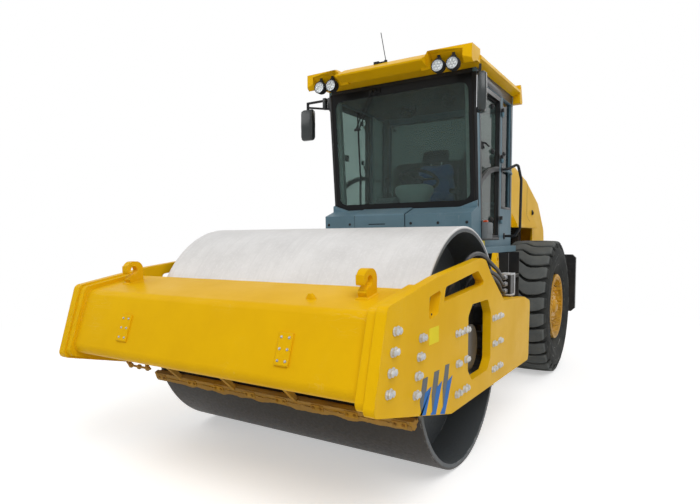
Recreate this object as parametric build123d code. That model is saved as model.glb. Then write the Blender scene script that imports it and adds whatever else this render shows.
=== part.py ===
from build123d import *
import math
import os

# Single-drum road roller. Millimetres, +X forward to the drum, +Y to the machine's left, +Z up.
# Origin on the ground, in the middle of the machine's length and width.

# Side plate outline, x from the drum axle and z from the ground, with a corner radius each.
#             x       z      radius
PLATE_OUTLINE = [
    (1399.0, 1213.0, 45.0),
    (795.0, 1312.0, 300.0),
    (9.0, 1391.0, 120.0),
    (-96.0, 1374.0, 60.0),
    (-210.0, 1279.0, 80.0),
    (-568.0, 1061.0, 40.0),
    (-1199.0, 1033.0, 60.0),
    (-1409.0, 982.0, 45.0),
    (-1381.0, 473.0, 45.0),
    (550.0, 505.0, 90.0),
    (1540.0, 742.0, 40.0),
]


def rounded_reach(table):
    # Foremost x of the outline: its last row is the front corner, the first row is above it.
    (xa, za, ra), (xb, zb, rb), (xc, zc, rc) = table[0], table[-1], table[-2]
    up, back = math.atan2(za - zb, xa - xb), math.atan2(zc - zb, xc - xb)
    half = abs(math.remainder(up - back, 2 * math.pi)) / 2
    middle = up + math.remainder(back - up, 2 * math.pi) / 2
    return xb + math.cos(middle) * rb / math.sin(half) + rb


# ---- overall lengths -------------------------------------------------------------------------
WHEELBASE = 3180.0             # drum axle to rear axle
FRONT_OVERHANG = rounded_reach(PLATE_OUTLINE)   # drum axle to the foremost edge
REAR_OVERHANG = 1510.0         # rear axle to the back of the counterweight
PIVOT_BEHIND_DRUM = 1590.0     # drum axle to the steering pivot
LENGTH = FRONT_OVERHANG + WHEELBASE + REAR_OVERHANG
FRONT_X = LENGTH / 2
DRUM_X = FRONT_X - FRONT_OVERHANG
AXLE_X = DRUM_X - WHEELBASE
PIVOT_X = DRUM_X - PIVOT_BEHIND_DRUM
REAR_X = -LENGTH / 2

# ---- clearances ------------------------------------------------------------------------------
RUNNING_FIT = 0.05             # radial, shafts in bores
PANEL_GAP = 6.0                # doors and hood to what they close on
SIDE_GAP = 8.0                 # between steered parts that face each other
SOFT_GAP = 0.3                 # cushions to their pans

# ---- drum ------------------------------------------------------------------------------------
DRUM_R = 800.0
DRUM_W = 2130.0
DRUM_SHELL = 38.0
DRUM_RECESS = 260.0            # drum edge to the drum head
DRUM_HEAD = 30.0
JOURNAL_R = 100.0
HUB_R = 170.0
HUB_LEN = 100.0
EXCITER_R = 200.0

# ---- front frame -----------------------------------------------------------------------------
PLATE_T = 56.0                 # side plate thickness
PLATE_GAP = 54.0               # drum edge to side plate
PLATE_IN_Y = DRUM_W / 2 + PLATE_GAP
PLATE_OUT_Y = PLATE_IN_Y + PLATE_T
BOLT_AF = 46.0                 # across flats
BOLT_HEAD = 30.0
MACHINE_HALF_W = PLATE_OUT_Y + BOLT_HEAD
BEAM_INSET = 34.0              # beam skin inside the side plate's outline
RIM_INSET = 10.0
RIM_W = 48.0
CROSS_X0 = -1080.0             # rear cross beam, from the drum axle
CROSS_X1 = -880.0
CROSS_Z0 = 560.0
CROSS_Z1 = 1040.0
BEARING_R = 150.0              # oscillation bearing
BEARING_HOUSING_R = 240.0

# Openings through the side plate, same columns.
UPPER_SLOT = [
    (690.0, 1168.0, 12.0),
    (661.0, 1251.0, 30.0),
    (75.0, 1312.0, 50.0),
    (-51.0, 1236.0, 12.0),
    (-31.0, 1214.0, 12.0),
]
SMALL_SLOT = [
    (913.0, 1092.0, 30.0),
    (898.0, 1216.0, 12.0),
    (753.0, 1240.0, 30.0),
    (737.0, 1224.0, 10.0),
    (780.0, 1112.0, 40.0),
]
BIG_SLOT = [
    (260.0, 1040.0, 30.0),
    (180.0, 1107.0, 30.0),
    (-150.0, 1107.0, 40.0),
    (-229.0, 1010.0, 30.0),
    (-229.0, 690.0, 40.0),
    (-150.0, 624.0, 30.0),
    (180.0, 624.0, 30.0),
    (260.0, 700.0, 30.0),
]
# Bolt places on the side plate: x from the drum axle, z from the ground.
BEAM_BOLTS = [
    (1318.0, 1095.0), (1344.0, 1001.0), (1370.0, 910.0), (1395.0, 817.0),
    (1010.0, 1017.0), (1036.0, 925.0), (1062.0, 832.0), (1085.0, 740.0),
]
MOUNT_PAD_X = (380.0, -380.0)  # rubber mount groups, from the drum axle
MOUNT_PAD_Z = (962.0, 780.0, 600.0)
MOUNT_BOLT_STEP = 75.0

# ---- wheels and rear axle --------------------------------------------------------------------
TYRE_R = 745.0
TYRE_W = 522.0
TRACK_HALF = 858.0             # machine centre to tyre centre
RIM_R = 330.0
RIM_LIP_R = 362.0
AXLE_TUBE_R = 105.0
SPINDLE_R = 70.0
SPINDLE_END = -60.0            # from the tyre's middle

# ---- rear frame ------------------------------------------------------------------------------
RAIL_OUT_Y = 320.0
RAIL_T = 35.0
RAIL_Z0 = 600.0
RAIL_Z1 = 1374.0
RAIL_ARCH_Z = TYRE_R + 135.0
NOSE_X = PIVOT_X - 230.0       # front plate of the rear frame
KINGPIN_R = 60.0
EAR_R = 140.0
EAR_T = 60.0
LINK_Z0 = 625.0
LINK_Z1 = 975.0
OSC_Z = DRUM_R                 # oscillation axis height
CYL_Z = DRUM_R                 # steering cylinder height
BARREL_PIN = (-660.0, 540.0)   # from the pivot, left side
ROD_PIN = (180.0, 300.0)
BARREL_R = 52.0
ROD_R = 30.0
EYE_T = 72.0
EYE_R = 56.0
STEER_PIN_R = 28.0
LUG_T = 30.0
LUG_GAP = 6.0                  # eye to lug, each side

# ---- cab -------------------------------------------------------------------------------------
CAB_HALF_W = 740.0
CAB_FLOOR_Z = 1440.0
CAB_TOP_Z = 2990.0
CAB_WALL = 50.0
CAB_FRONT_X = PIVOT_X + 200.0  # at the floor
CAB_LEAN = 164.0               # the windshield's top is this much further forward
CAB_REAR_X = PIVOT_X - 890.0
DOOR_REAR_X = PIVOT_X - 452.0
DOOR_Z0 = 1500.0
DOOR_Z1 = 2895.0
DOOR_T = 40.0
GLASS_T = 8.0
WINDSHIELD_Z0 = 1830.0
WINDSHIELD_Z1 = 2950.0
ROOF_Z0 = CAB_TOP_Z
ROOF_HALF_W = 810.0
ROOF_FRONT_X = PIVOT_X + 650.0
ROOF_REAR_X = PIVOT_X - 1000.0
PLATFORM_T = 60.0
PLATFORM_HALF_W = 790.0

# ---- hood ------------------------------------------------------------------------------------
HOOD_HALF_W = 650.0
HOOD_T = 22.0
HOOD_FRONT_X = CAB_REAR_X - 70.0
HOOD_PIVOT = (REAR_X + 112.0, 1408.0)
HOOD_PIN_R = 14.0
HOOD_KNUCKLE_R = 26.0
HOOD_EAR_Y = (330.0, 390.0)
FENDER_OUT_Y = 712.0
ARCH_EDGE_Z = 2 * TYRE_R + 150.0
HOOD_LOW_Z = ARCH_EDGE_Z + 105.0   # front wall's lower edge


def block(x0, x1, y0, y1, z0, z1):
    # Box between two opposite corners.
    centre = Pos((x0 + x1) / 2, (y0 + y1) / 2, (z0 + z1) / 2)
    return centre * Box(abs(x1 - x0), abs(y1 - y0), abs(z1 - z0))


def cyl_x(x0, x1, y, z, r):
    return Pos((x0 + x1) / 2, y, z) * Rot(0, 90, 0) * Cylinder(r, abs(x1 - x0))


def cyl_y(x, y0, y1, z, r):
    return Pos(x, (y0 + y1) / 2, z) * Rot(90, 0, 0) * Cylinder(r, abs(y1 - y0))


def cyl_z(x, y, z0, z1, r):
    return Pos(x, y, (z0 + z1) / 2) * Cylinder(r, abs(z1 - z0))


def side_prism(points, y0, y1):
    # Extrudes an (x, z) outline from y0 to y1.
    face = Plane.XZ * Polygon(*points, align=None)
    return Pos(0, y0, 0) * extrude(face, amount=y1 - y0, dir=(0, 1, 0))


def top_prism(points, z0, z1):
    # Extrudes an (x, y) outline from z0 to z1.
    return Pos(0, 0, z0) * extrude(Polygon(*points, align=None), amount=z1 - z0)


def front_prism(points, x0, x1):
    # Extrudes a (y, z) outline from x0 to x1.
    face = Plane.YZ * Polygon(*points, align=None)
    return Pos(x0, 0, 0) * extrude(face, amount=x1 - x0, dir=(1, 0, 0))


def rounded_prism(table, y0, y1, shift_x=0.0):
    # Side prism from rows of x, z and corner radius.
    sketch = Polygon(*[(x, z) for x, z, r in table], align=None)
    corners = sketch.vertices()
    for x, z, r in table:
        corner = min(corners, key=lambda v: math.hypot(v.X - x, v.Y - z))
        sketch = fillet([v for v in sketch.vertices()
                         if math.hypot(v.X - corner.X, v.Y - corner.Y) < 0.01], r)
    return Pos(shift_x, y0, 0) * extrude(Plane.XZ * sketch, amount=y1 - y0, dir=(0, 1, 0))


def mirrored(shape):
    return mirror(shape, about=Plane.XZ)


def both_sides(shape):
    return Compound(children=shape.solids() + mirrored(shape).solids())


def save(name, shape):
    export_step(shape, "parts/" + name + ".step")


# ==== front frame =============================================================================
def plate_top_z(x):
    # Height of the side plate's sloping top edge ahead of the drum.
    (x1, z1, r1), (x0, z0, r0) = PLATE_OUTLINE[0], PLATE_OUTLINE[1]
    return z0 + (x - x0) * (z1 - z0) / (x1 - x0)


def plate_bottom_z(x):
    (x1, z1, r1), (x0, z0, r0) = PLATE_OUTLINE[-1], PLATE_OUTLINE[-2]
    return z0 + (x - x0) * (z1 - z0) / (x1 - x0)


BEAM_REAR_TOP = 905.0          # beam's rear wall, from the drum axle
BEAM_REAR_LOW = 1015.0


def beam_outline(inset, corner):
    # Leaning box section whose skin lies a named inset inside the side plate.
    top, low = PLATE_OUTLINE[0], PLATE_OUTLINE[-1]
    return [
        (top[0] - inset * 1.1, top[1] - inset, corner),
        (low[0] - inset * 1.1, low[1] + inset * 0.9, corner),
        (BEAM_REAR_LOW, plate_bottom_z(BEAM_REAR_LOW) + inset + 55.0, 20.0),
        (BEAM_REAR_TOP, plate_top_z(BEAM_REAR_TOP) - inset, 20.0),
    ]


def front_beam():
    skin = rounded_prism(beam_outline(BEAM_INSET, 60.0), -PLATE_IN_Y, PLATE_IN_Y, DRUM_X)
    rim = rounded_prism(beam_outline(RIM_INSET, 45.0), PLATE_IN_Y - RIM_W, PLATE_IN_Y, DRUM_X)
    return skin + rim + mirrored(rim)


def side_plate():
    plate = rounded_prism(PLATE_OUTLINE, PLATE_IN_Y, PLATE_OUT_Y, DRUM_X)
    for slot in (UPPER_SLOT, SMALL_SLOT, BIG_SLOT):
        plate -= rounded_prism(slot, PLATE_IN_Y - 1, PLATE_OUT_Y + 1, DRUM_X)
    return plate


def mount_bolt_places():
    # Three, two and three bolts on each rubber mount group.
    places = []
    for pad_x in MOUNT_PAD_X:
        for row, pad_z in enumerate(MOUNT_PAD_Z):
            steps = (-1, 1) if row == 1 else (-1, 0, 1)
            places += [(pad_x + step * MOUNT_BOLT_STEP, pad_z) for step in steps]
    return places


def frame_bolts():
    heads = []
    for x, z in BEAM_BOLTS + mount_bolt_places():
        hexagon = RegularPolygon(BOLT_AF / 2, 6, major_radius=False)
        head = Plane.XZ * extrude(hexagon, amount=-BOLT_HEAD)
        heads += (Pos(DRUM_X + x, PLATE_OUT_Y, z) * head).solids()
    return both_sides(Compound(children=heads))


REAR_EYE_R = 18.0
REAR_EYE_Z = 1345.0
REAR_EYE_BACK = 92.0           # behind the cross beam's front face
REAR_LUG_T = 40.0
REAR_LUG_Y = PLATE_IN_Y - 124.0


def rear_cross_beam():
    # Box section behind the drum, with the oscillation bearing in its middle.
    x0, x1 = DRUM_X + CROSS_X0, DRUM_X + CROSS_X1
    beam = block(x0, x1, -PLATE_IN_Y, PLATE_IN_Y, CROSS_Z0, CROSS_Z1)
    beam += cyl_x(x0 - 45, x1, 0, OSC_Z, BEARING_HOUSING_R)
    beam -= cyl_x(x0 - 46, x1 + 1, 0, OSC_Z, BEARING_R + RUNNING_FIT)
    lug = side_prism([(x0 + 40, CROSS_Z1), (x1 - 20, CROSS_Z1), (x1 - 45, 1330.0),
                      (x1 - 75, 1400.0), (x1 - 110, 1400.0), (x1 - 125, 1330.0)],
                     REAR_LUG_Y - REAR_LUG_T / 2, REAR_LUG_Y + REAR_LUG_T / 2)
    lug -= cyl_y(x1 - REAR_EYE_BACK, REAR_LUG_Y - REAR_LUG_T, REAR_LUG_Y + REAR_LUG_T, REAR_EYE_Z,
                 REAR_EYE_R)
    return beam + lug + mirrored(lug)


HOOK_Y = PLATE_IN_Y - 201.0
HOOK_T = 50.0
HOOK_X = 1122.0                # eye centre, from the drum axle
HOOK_Z = 1308.0
HOOK_EYE_R = 28.0


def lifting_hooks():
    # Thick plate hooks whose eye opens forwards and down.
    x, z = DRUM_X + HOOK_X, HOOK_Z
    base_back, base_front = x - 78, x + 48
    floor_back = plate_top_z(base_back - DRUM_X) - 2 * BEAM_INSET
    floor_front = plate_top_z(base_front - DRUM_X) - 2 * BEAM_INSET
    body = side_prism([(base_back, floor_back), (base_front, floor_front), (base_front, z - 100),
                       (base_front - 16, z - 84), (base_front - 6, z - 62), (x, z), (base_back, z)],
                      HOOK_Y - HOOK_T / 2, HOOK_Y + HOOK_T / 2)
    body += cyl_y(x, HOOK_Y - HOOK_T / 2, HOOK_Y + HOOK_T / 2, z, 62.0)
    body += cyl_y(x - 18, HOOK_Y - HOOK_T / 2, HOOK_Y + HOOK_T / 2, z, 62.0)
    body += block(x, x + 62, HOOK_Y - HOOK_T / 2, HOOK_Y + HOOK_T / 2, z, z + 30)
    body -= cyl_y(x, HOOK_Y - HOOK_T / 2 - 1, HOOK_Y + HOOK_T / 2 + 1, z, HOOK_EYE_R)
    mouth = Pos(x, HOOK_Y, z) * Rot(0, 38, 0) * Pos(60, 0, 0) * Box(120, HOOK_T + 2, 34)
    return both_sides(body - mouth - front_beam())


CARRIER_T = 30.0
BUFFER_LEN = 90.0


def drum_mount():
    # Left side: rubber buffers, carrier plate, motor and the journal that carries the drum.
    inner_y = PLATE_IN_Y - BUFFER_LEN
    mount = block(DRUM_X - 500, DRUM_X + 500, inner_y - CARRIER_T, inner_y, 540, 1040)
    mount = fillet(mount.edges().filter_by(Axis.Y), 90)
    for pad_x in MOUNT_PAD_X:
        for pad_z in MOUNT_PAD_Z:
            mount += cyl_y(DRUM_X + pad_x, inner_y, PLATE_IN_Y, pad_z, 68)
    mount += cyl_y(DRUM_X, inner_y, PLATE_IN_Y - 12, DRUM_R, 150)
    head_y = DRUM_W / 2 - DRUM_RECESS
    mount += cyl_y(DRUM_X, head_y - 100, inner_y, DRUM_R, JOURNAL_R)
    return mount


HOSE_R = 15.0
HOSE_Y = (DRUM_W / 2 + PLATE_IN_Y) / 2     # between the drum's edge and the side plate
PORT_Z = 1040.0                # top edge of the carrier plate
PORT_Y = PLATE_IN_Y - BUFFER_LEN - CARRIER_T / 2
CLAMP_X = (-1165.0, -1035.0)   # hose clamp plate, from the drum axle
CLAMP_TOP_Z = 1232.0
CLAMP_T = 12.0
CLAMP_Y = 1092.0               # inner face of the clamp plate
MANIFOLD_X = (-1120.0, -1060.0)
MANIFOLD_Y = 1030.0

# Hose routes from the carrier's edge to the clamp: x from the drum axle, y and z.
UPPER_HOSE = [
    (215, PORT_Y, PORT_Z), (215, PORT_Y, 1115), (205, 1040, 1205), (165, 1074, 1290),
    (85, HOSE_Y, 1360), (-20, HOSE_Y, 1400), (-130, HOSE_Y, 1415), (-250, HOSE_Y, 1412),
    (-370, HOSE_Y, 1385), (-480, HOSE_Y, 1344), (-590, HOSE_Y, 1308), (-710, 1089, 1274),
    (-830, 1072, 1234), (-945, 1058, 1200), (-1060, 1058, 1200),
]
MIDDLE_HOSE = [
    (-130, PORT_Y, PORT_Z), (-130, PORT_Y, 1104), (-150, 1022, 1180), (-196, 1042, 1240),
    (-262, 1066, 1276), (-342, 1084, 1290), (-430, HOSE_Y, 1288), (-530, HOSE_Y, 1270),
    (-640, HOSE_Y, 1244), (-755, 1086, 1210), (-865, 1070, 1172), (-965, 1058, 1143),
    (-1060, 1058, 1143),
]
LOWER_HOSE = [
    (-300, PORT_Y, PORT_Z), (-300, PORT_Y, 1094), (-316, 1021, 1158), (-354, 1038, 1208),
    (-412, 1060, 1236), (-482, 1080, 1242), (-566, HOSE_Y, 1226), (-655, HOSE_Y, 1196),
    (-745, 1088, 1160), (-835, 1074, 1122), (-925, 1060, 1094), (-990, 1058, 1088),
    (-1060, 1058, 1088),
]


def hose(route):
    # Straight runs joined by tangent arcs as large as the runs allow.
    points = [Vector(DRUM_X + x, y, z) for x, y, z in route]
    runs = [b - a for a, b in zip(points, points[1:])]
    radii = []
    for one, two in zip(runs, runs[1:]):
        half_turn = math.radians(one.get_angle(two)) / 2
        radii.append(0.45 * min(one.length, two.length) / math.tan(half_turn))
    print("smallest hose bend", round(min(radii)), "mm")
    path = FilletPolyline(*points, radius=radii)
    return sweep(Plane(origin=points[0], z_dir=runs[0]) * Circle(HOSE_R), path=path)


def hose_clamps():
    # Zinc plate beside a small manifold on the cross beam, where the hoses end.
    clamp = block(DRUM_X + CLAMP_X[0], DRUM_X + CLAMP_X[1], CLAMP_Y, CLAMP_Y + CLAMP_T,
                  CROSS_Z1, CLAMP_TOP_Z)
    clamp = fillet(clamp.edges().filter_by(Axis.Y), 12)
    manifold = block(DRUM_X + MANIFOLD_X[0], DRUM_X + MANIFOLD_X[1], MANIFOLD_Y, CLAMP_Y,
                     CROSS_Z1, CLAMP_TOP_Z - 14)
    return both_sides(clamp + manifold)


SCRAPER_GAP = 8.0
SCRAPER_T = 24.0
SCRAPER_REACH = 62.0           # blade edge to the back of its bar
SCRAPER_BAR_T = 34.0
SCRAPER_BAR_H = 58.0
FRONT_SCRAPER_ANGLE = 21.5     # below level
REAR_SCRAPER_ANGLE = 28.0
SCRAPER_ARM_T = 30.0
SCRAPER_ARM_Y = (260.0, 780.0)


def scraper_bar(angle):
    # Blade and flat bar across the drum, square to its face; angle is below the front level.
    reach = DRUM_R + SCRAPER_GAP
    blade = Pos(reach + SCRAPER_REACH / 2, 0, 0) * Box(SCRAPER_REACH, DRUM_W - 20, SCRAPER_T)
    bar = Pos(reach + SCRAPER_REACH - SCRAPER_BAR_T / 2, 0, 0)
    bar *= Box(SCRAPER_BAR_T, DRUM_W - 20, SCRAPER_BAR_H)
    return Pos(DRUM_X, 0, DRUM_R) * Rot(0, angle, 0) * (blade + bar)


def scraper_arm(angle, seat_x, seat_z, width):
    # Plate from the bar to its seat on the frame; seat given from the drum axle.
    a = math.radians(angle)
    far = DRUM_R + SCRAPER_GAP + SCRAPER_REACH - SCRAPER_BAR_T / 2
    x, z = DRUM_X + far * math.cos(a), DRUM_R - far * math.sin(a)
    nx, nz = 28 * math.sin(a), 28 * math.cos(a)
    outline = [(x - nx, z - nz), (x + nx, z + nz), (DRUM_X + seat_x - width, seat_z),
               (DRUM_X + seat_x + width, seat_z)]
    arms = Part()
    for y in SCRAPER_ARM_Y:
        for side in (-1, 1):
            arms += side_prism(outline, side * y - SCRAPER_ARM_T / 2, side * y + SCRAPER_ARM_T / 2)
    return arms


def front_scraper():
    seat_z = plate_bottom_z(BEAM_REAR_LOW + 60) + BEAM_INSET + 80
    arm = scraper_arm(FRONT_SCRAPER_ANGLE, BEAM_REAR_LOW + 60, seat_z, 45)
    return scraper_bar(FRONT_SCRAPER_ANGLE) + (arm - front_beam())


def rear_scraper():
    seat_x = (CROSS_X0 + CROSS_X1) / 2
    arm = scraper_arm(180 - REAR_SCRAPER_ANGLE, seat_x, CROSS_Z0, 45)
    return scraper_bar(180 - REAR_SCRAPER_ANGLE) + (arm - rear_cross_beam())


# ==== drum ====================================================================================
def drum():
    half = DRUM_W / 2
    head_y = half - DRUM_RECESS
    shell = cyl_y(DRUM_X, -half, half, DRUM_R, DRUM_R)
    shell -= cyl_y(DRUM_X, -half - 1, half + 1, DRUM_R, DRUM_R - DRUM_SHELL)
    shell = chamfer(shell.edges().filter_by(GeomType.CIRCLE).sort_by(SortBy.RADIUS)[-2:], 6)
    head = cyl_y(DRUM_X, head_y - DRUM_HEAD, head_y, DRUM_R, DRUM_R - DRUM_SHELL + 0.5)
    hub = cyl_y(DRUM_X, head_y, head_y + HUB_LEN, DRUM_R, HUB_R)
    bore = cyl_y(DRUM_X, head_y - 110, head_y + HUB_LEN + 1, DRUM_R, JOURNAL_R + RUNNING_FIT)
    exciter = cyl_y(DRUM_X, -head_y + DRUM_HEAD, head_y - DRUM_HEAD, DRUM_R, EXCITER_R)
    whole = shell + exciter
    for side in (head, hub):
        whole += side
        whole += mirrored(side)
    return whole - bore - mirrored(bore)


# ==== centre link =============================================================================
def centre_link():
    # Steers about the kingpin and carries the front frame's oscillation journal.
    x = PIVOT_X
    boss = cyl_z(x, 0, LINK_Z0, LINK_Z1, 130)
    boss += cyl_z(x, 0, LINK_Z0 - SIDE_GAP - EAR_T, LINK_Z1 + SIDE_GAP + EAR_T, KINGPIN_R)
    neck_end = DRUM_X + CROSS_X0 - 45 - SIDE_GAP
    boss += block(x + 60, neck_end - 60, -185, 185, LINK_Z0 + 15, LINK_Z1 - 15)
    boss += cyl_x(neck_end - 60, neck_end, 0, OSC_Z, BEARING_HOUSING_R - 15)
    boss += cyl_x(neck_end, DRUM_X + CROSS_X1 - 15, 0, OSC_Z, BEARING_R)
    rx, ry = x + ROD_PIN[0], ROD_PIN[1]
    half = EYE_T / 2 + LUG_GAP
    for z0 in (CYL_Z + half, CYL_Z - half - LUG_T):
        arm = top_prism([(x + 75, 180), (x + 330, 180), (rx + 70, ry + 30), (rx + 30, ry + 72),
                         (rx - 60, ry + 60)], z0, z0 + LUG_T)
        arm += cyl_z(rx, ry, z0, z0 + LUG_T, 70)
        boss += arm
        boss += mirrored(arm)
    return boss


# ==== rear frame ==============================================================================
def rear_frame():
    back = REAR_X + 160
    outline = [(NOSE_X - 40, RAIL_Z0), (NOSE_X - 40, RAIL_Z1), (back, RAIL_Z1), (back, 700.0),
               (AXLE_X - 430, 700.0), (AXLE_X - 300, RAIL_ARCH_Z), (AXLE_X + 300, RAIL_ARCH_Z),
               (AXLE_X + 430, RAIL_Z0)]
    rail = side_prism(outline, RAIL_OUT_Y - RAIL_T, RAIL_OUT_Y)
    frame = rail + mirrored(rail)
    frame += block(NOSE_X - 40, NOSE_X, -RAIL_OUT_Y, RAIL_OUT_Y, RAIL_Z0 - 60, RAIL_Z1)
    frame += block(back, back + 40, -RAIL_OUT_Y, RAIL_OUT_Y, 700, RAIL_Z1)
    for x in ENGINE_FEET_X:
        frame += block(x - 35, x + 35, -RAIL_OUT_Y + 1, RAIL_OUT_Y - 1, ENGINE_Z0 - 60, ENGINE_Z0)
    for z0 in (LINK_Z1 + SIDE_GAP, LINK_Z0 - SIDE_GAP - EAR_T):
        ear = top_prism([(NOSE_X, -300), (PIVOT_X + 30, -EAR_R + 4), (PIVOT_X + 30, EAR_R - 4),
                         (NOSE_X, 300)], z0, z0 + EAR_T)
        ear += cyl_z(PIVOT_X, 0, z0, z0 + EAR_T, EAR_R)
        ear -= cyl_z(PIVOT_X, 0, z0 - 1, z0 + EAR_T + 1, KINGPIN_R + RUNNING_FIT)
        frame += ear
    frame += cab_feet() + both_lugs()
    return frame


def cab_feet():
    # Brackets outside the rails that carry the cab's platform.
    feet = Part()
    for x in CAB_FEET_X:
        foot = block(x - 60, x + 60, RAIL_OUT_Y - 1, RAIL_OUT_Y + 90, RAIL_Z1 - 90,
                     CAB_FLOOR_Z - PLATFORM_T)
        feet += foot + mirrored(foot)
    return feet


def both_lugs():
    # Lugs and pins for the steering barrels, outboard of the rails.
    bx, by = PIVOT_X + BARREL_PIN[0], BARREL_PIN[1]
    half = EYE_T / 2 + LUG_GAP
    lug = cyl_z(bx, by, CYL_Z - half - LUG_T, CYL_Z + half + LUG_T, STEER_PIN_R)
    for z0 in (CYL_Z + half, CYL_Z - half - LUG_T):
        lug += top_prism([(bx - 110, RAIL_OUT_Y), (bx + 70, RAIL_OUT_Y), (bx + 45, by + 20),
                          (bx - 45, by + 20)], z0, z0 + LUG_T)
        lug += cyl_z(bx, by, z0, z0 + LUG_T, 52)
    return lug + mirrored(lug)


ENGINE_Z0 = 1150.0
CAB_FEET_X = (PIVOT_X - 200.0, PIVOT_X - 865.0)
ENGINE_FEET_X = (AXLE_X + 300.0, AXLE_X - 650.0)


def engine():
    return block(AXLE_X - 720, AXLE_X + 380, -270, 270, ENGINE_Z0, 1960)


def radiator():
    return block(AXLE_X - 1090, AXLE_X - 930, -430, 430, RAIL_Z1, 1900)


def rear_axle():
    axle = cyl_y(AXLE_X, -TRACK_HALF + 190, TRACK_HALF - 190, TYRE_R, AXLE_TUBE_R)
    axle += Pos(AXLE_X, 0, TYRE_R) * Sphere(215)
    for side in (-1, 1):
        y = side * (RAIL_OUT_Y - RAIL_T / 2)
        axle += block(AXLE_X - 120, AXLE_X + 120, y - 60, y + 60, TYRE_R, RAIL_ARCH_Z)
        axle += cyl_y(AXLE_X, side * (TRACK_HALF - 260), side * (TRACK_HALF - 188), TYRE_R, 210)
    axle += cyl_x(AXLE_X + 150, AXLE_X + 420, 0, TYRE_R, 70)
    spindle = cyl_y(AXLE_X, TRACK_HALF - 190, TRACK_HALF + SPINDLE_END, TYRE_R, SPINDLE_R)
    return axle + spindle + mirrored(spindle)


TOW_R = 25.0
TOW_X = REAR_X + 55.0
WEIGHT_Z0 = 560.0
WEIGHT_Z1 = 1350.0
TOW_DEPTH = 170.0


def hood_lug():
    # Upright lug inboard of the hood's ear, with the hinge pin through both.
    (x, z), (y0, y1) = HOOD_PIVOT, HOOD_EAR_Y
    lug = block(x - HOOD_KNUCKLE_R, x + HOOD_KNUCKLE_R, y0 - 40, y0 - 2, WEIGHT_Z1 - 1, z)
    lug += cyl_y(x, y0 - 40, y0 - 2, z, HOOD_KNUCKLE_R)
    return lug + cyl_y(x, y0 - 3, y1 + 6, z, HOOD_PIN_R)


def counterweight():
    # Cast block behind the rails, with a tow pocket whose pin goes in from below.
    body = block(REAR_X, REAR_X + 160, -600, 600, WEIGHT_Z0, WEIGHT_Z1)
    body = chamfer(body.edges().filter_by(Axis.X).group_by(Axis.Z)[0], 140)
    body += hood_lug() + mirrored(hood_lug())
    pocket = block(REAR_X - 1, REAR_X + 115, -110, 110, WEIGHT_Z0 + 40, WEIGHT_Z0 + 110)
    pin_hole = cyl_z(TOW_X, 0, WEIGHT_Z0 - 1, WEIGHT_Z0 + TOW_DEPTH, TOW_R)
    return body - pocket - pin_hole


def mud_plates():
    x = AXLE_X - TYRE_R - 75
    plate = block(x - 60, x, RAIL_OUT_Y, 1150, 600, 1310)
    plate = chamfer(plate.edges().filter_by(Axis.X).group_by(Axis.Y)[-1], 40)
    return both_sides(plate)


def steps():
    # Two treads between hanging side plates under each door.
    x0, x1 = PIVOT_X - 600, PIVOT_X - 180
    y0, y1 = 640.0, 900.0
    stair = block(x0, x0 + 15, y0, y1, 560, CAB_FLOOR_Z - PLATFORM_T)
    stair += block(x1 - 15, x1, y0, y1, 560, CAB_FLOOR_Z - PLATFORM_T)
    for z, back in ((590.0, y0), (860.0, y0), (1130.0, y0)):
        stair += block(x0 + 14, x1 - 14, back, y1, z, z + 30)
    return both_sides(stair)


def side_tank():
    tank = block(PIVOT_X - 800, PIVOT_X - 280, RAIL_OUT_Y, 620, 905, CAB_FLOOR_Z - PLATFORM_T - 20)
    return fillet(tank.edges().filter_by(Axis.X), 30)


# ==== wheels ==================================================================================
BEAD_Y = 188.0                 # half width between the tyre's beads
FLANGE_T = 34.0
DISC_Y = (148.0, 176.0)


def tyre():
    w = TYRE_W / 2
    # Half profile: radius, distance from the tyre's middle.
    half = [(RIM_R, BEAD_Y), (RIM_LIP_R + 8, BEAD_Y), (RIM_LIP_R + 24, BEAD_Y + 44), (470, w - 4),
            (560, w), (660, w - 8), (705, w - 34), (TYRE_R - 6, 175), (TYRE_R, 60)]
    profile = [(y, r) for r, y in half] + [(-y, r) for r, y in reversed(half)]
    section = Plane.YZ * Polygon(*profile, align=None)
    ring = revolve(section, Axis((0, 0, 0), (0, 1, 0)), 360)
    return Pos(AXLE_X, TRACK_HALF, TYRE_R) * ring


def rim():
    # Wide barrel with two flanges, a disc and a hub bored for the spindle.
    y = BEAD_Y + SOFT_GAP
    barrel = cyl_y(0, -y - FLANGE_T, y + FLANGE_T, 0, RIM_LIP_R)
    barrel -= cyl_y(0, -y, y, 0, RIM_LIP_R + 1) - cyl_y(0, -y, y, 0, RIM_R - SOFT_GAP)
    barrel -= cyl_y(0, -y - FLANGE_T - 1, y + FLANGE_T + 1, 0, RIM_R - 24)
    disc = cyl_y(0, DISC_Y[0], DISC_Y[1], 0, RIM_R - 20)
    hub = cyl_y(0, -185, DISC_Y[1] + 10, 0, 165)
    bore = cyl_y(0, -186, SPINDLE_END + 5, 0, SPINDLE_R + RUNNING_FIT)
    return Pos(AXLE_X, TRACK_HALF, TYRE_R) * (barrel + disc + hub - bore)


# ==== steering cylinders ======================================================================
def cylinder_frame():
    # Origin at the barrel pin with +X towards the rod pin, left side.
    bx, by = PIVOT_X + BARREL_PIN[0], BARREL_PIN[1]
    rx, ry = PIVOT_X + ROD_PIN[0], ROD_PIN[1]
    angle = math.degrees(math.atan2(ry - by, rx - bx))
    return Pos(bx, by, CYL_Z) * Rot(0, 0, angle), math.hypot(rx - bx, ry - by)


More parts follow.
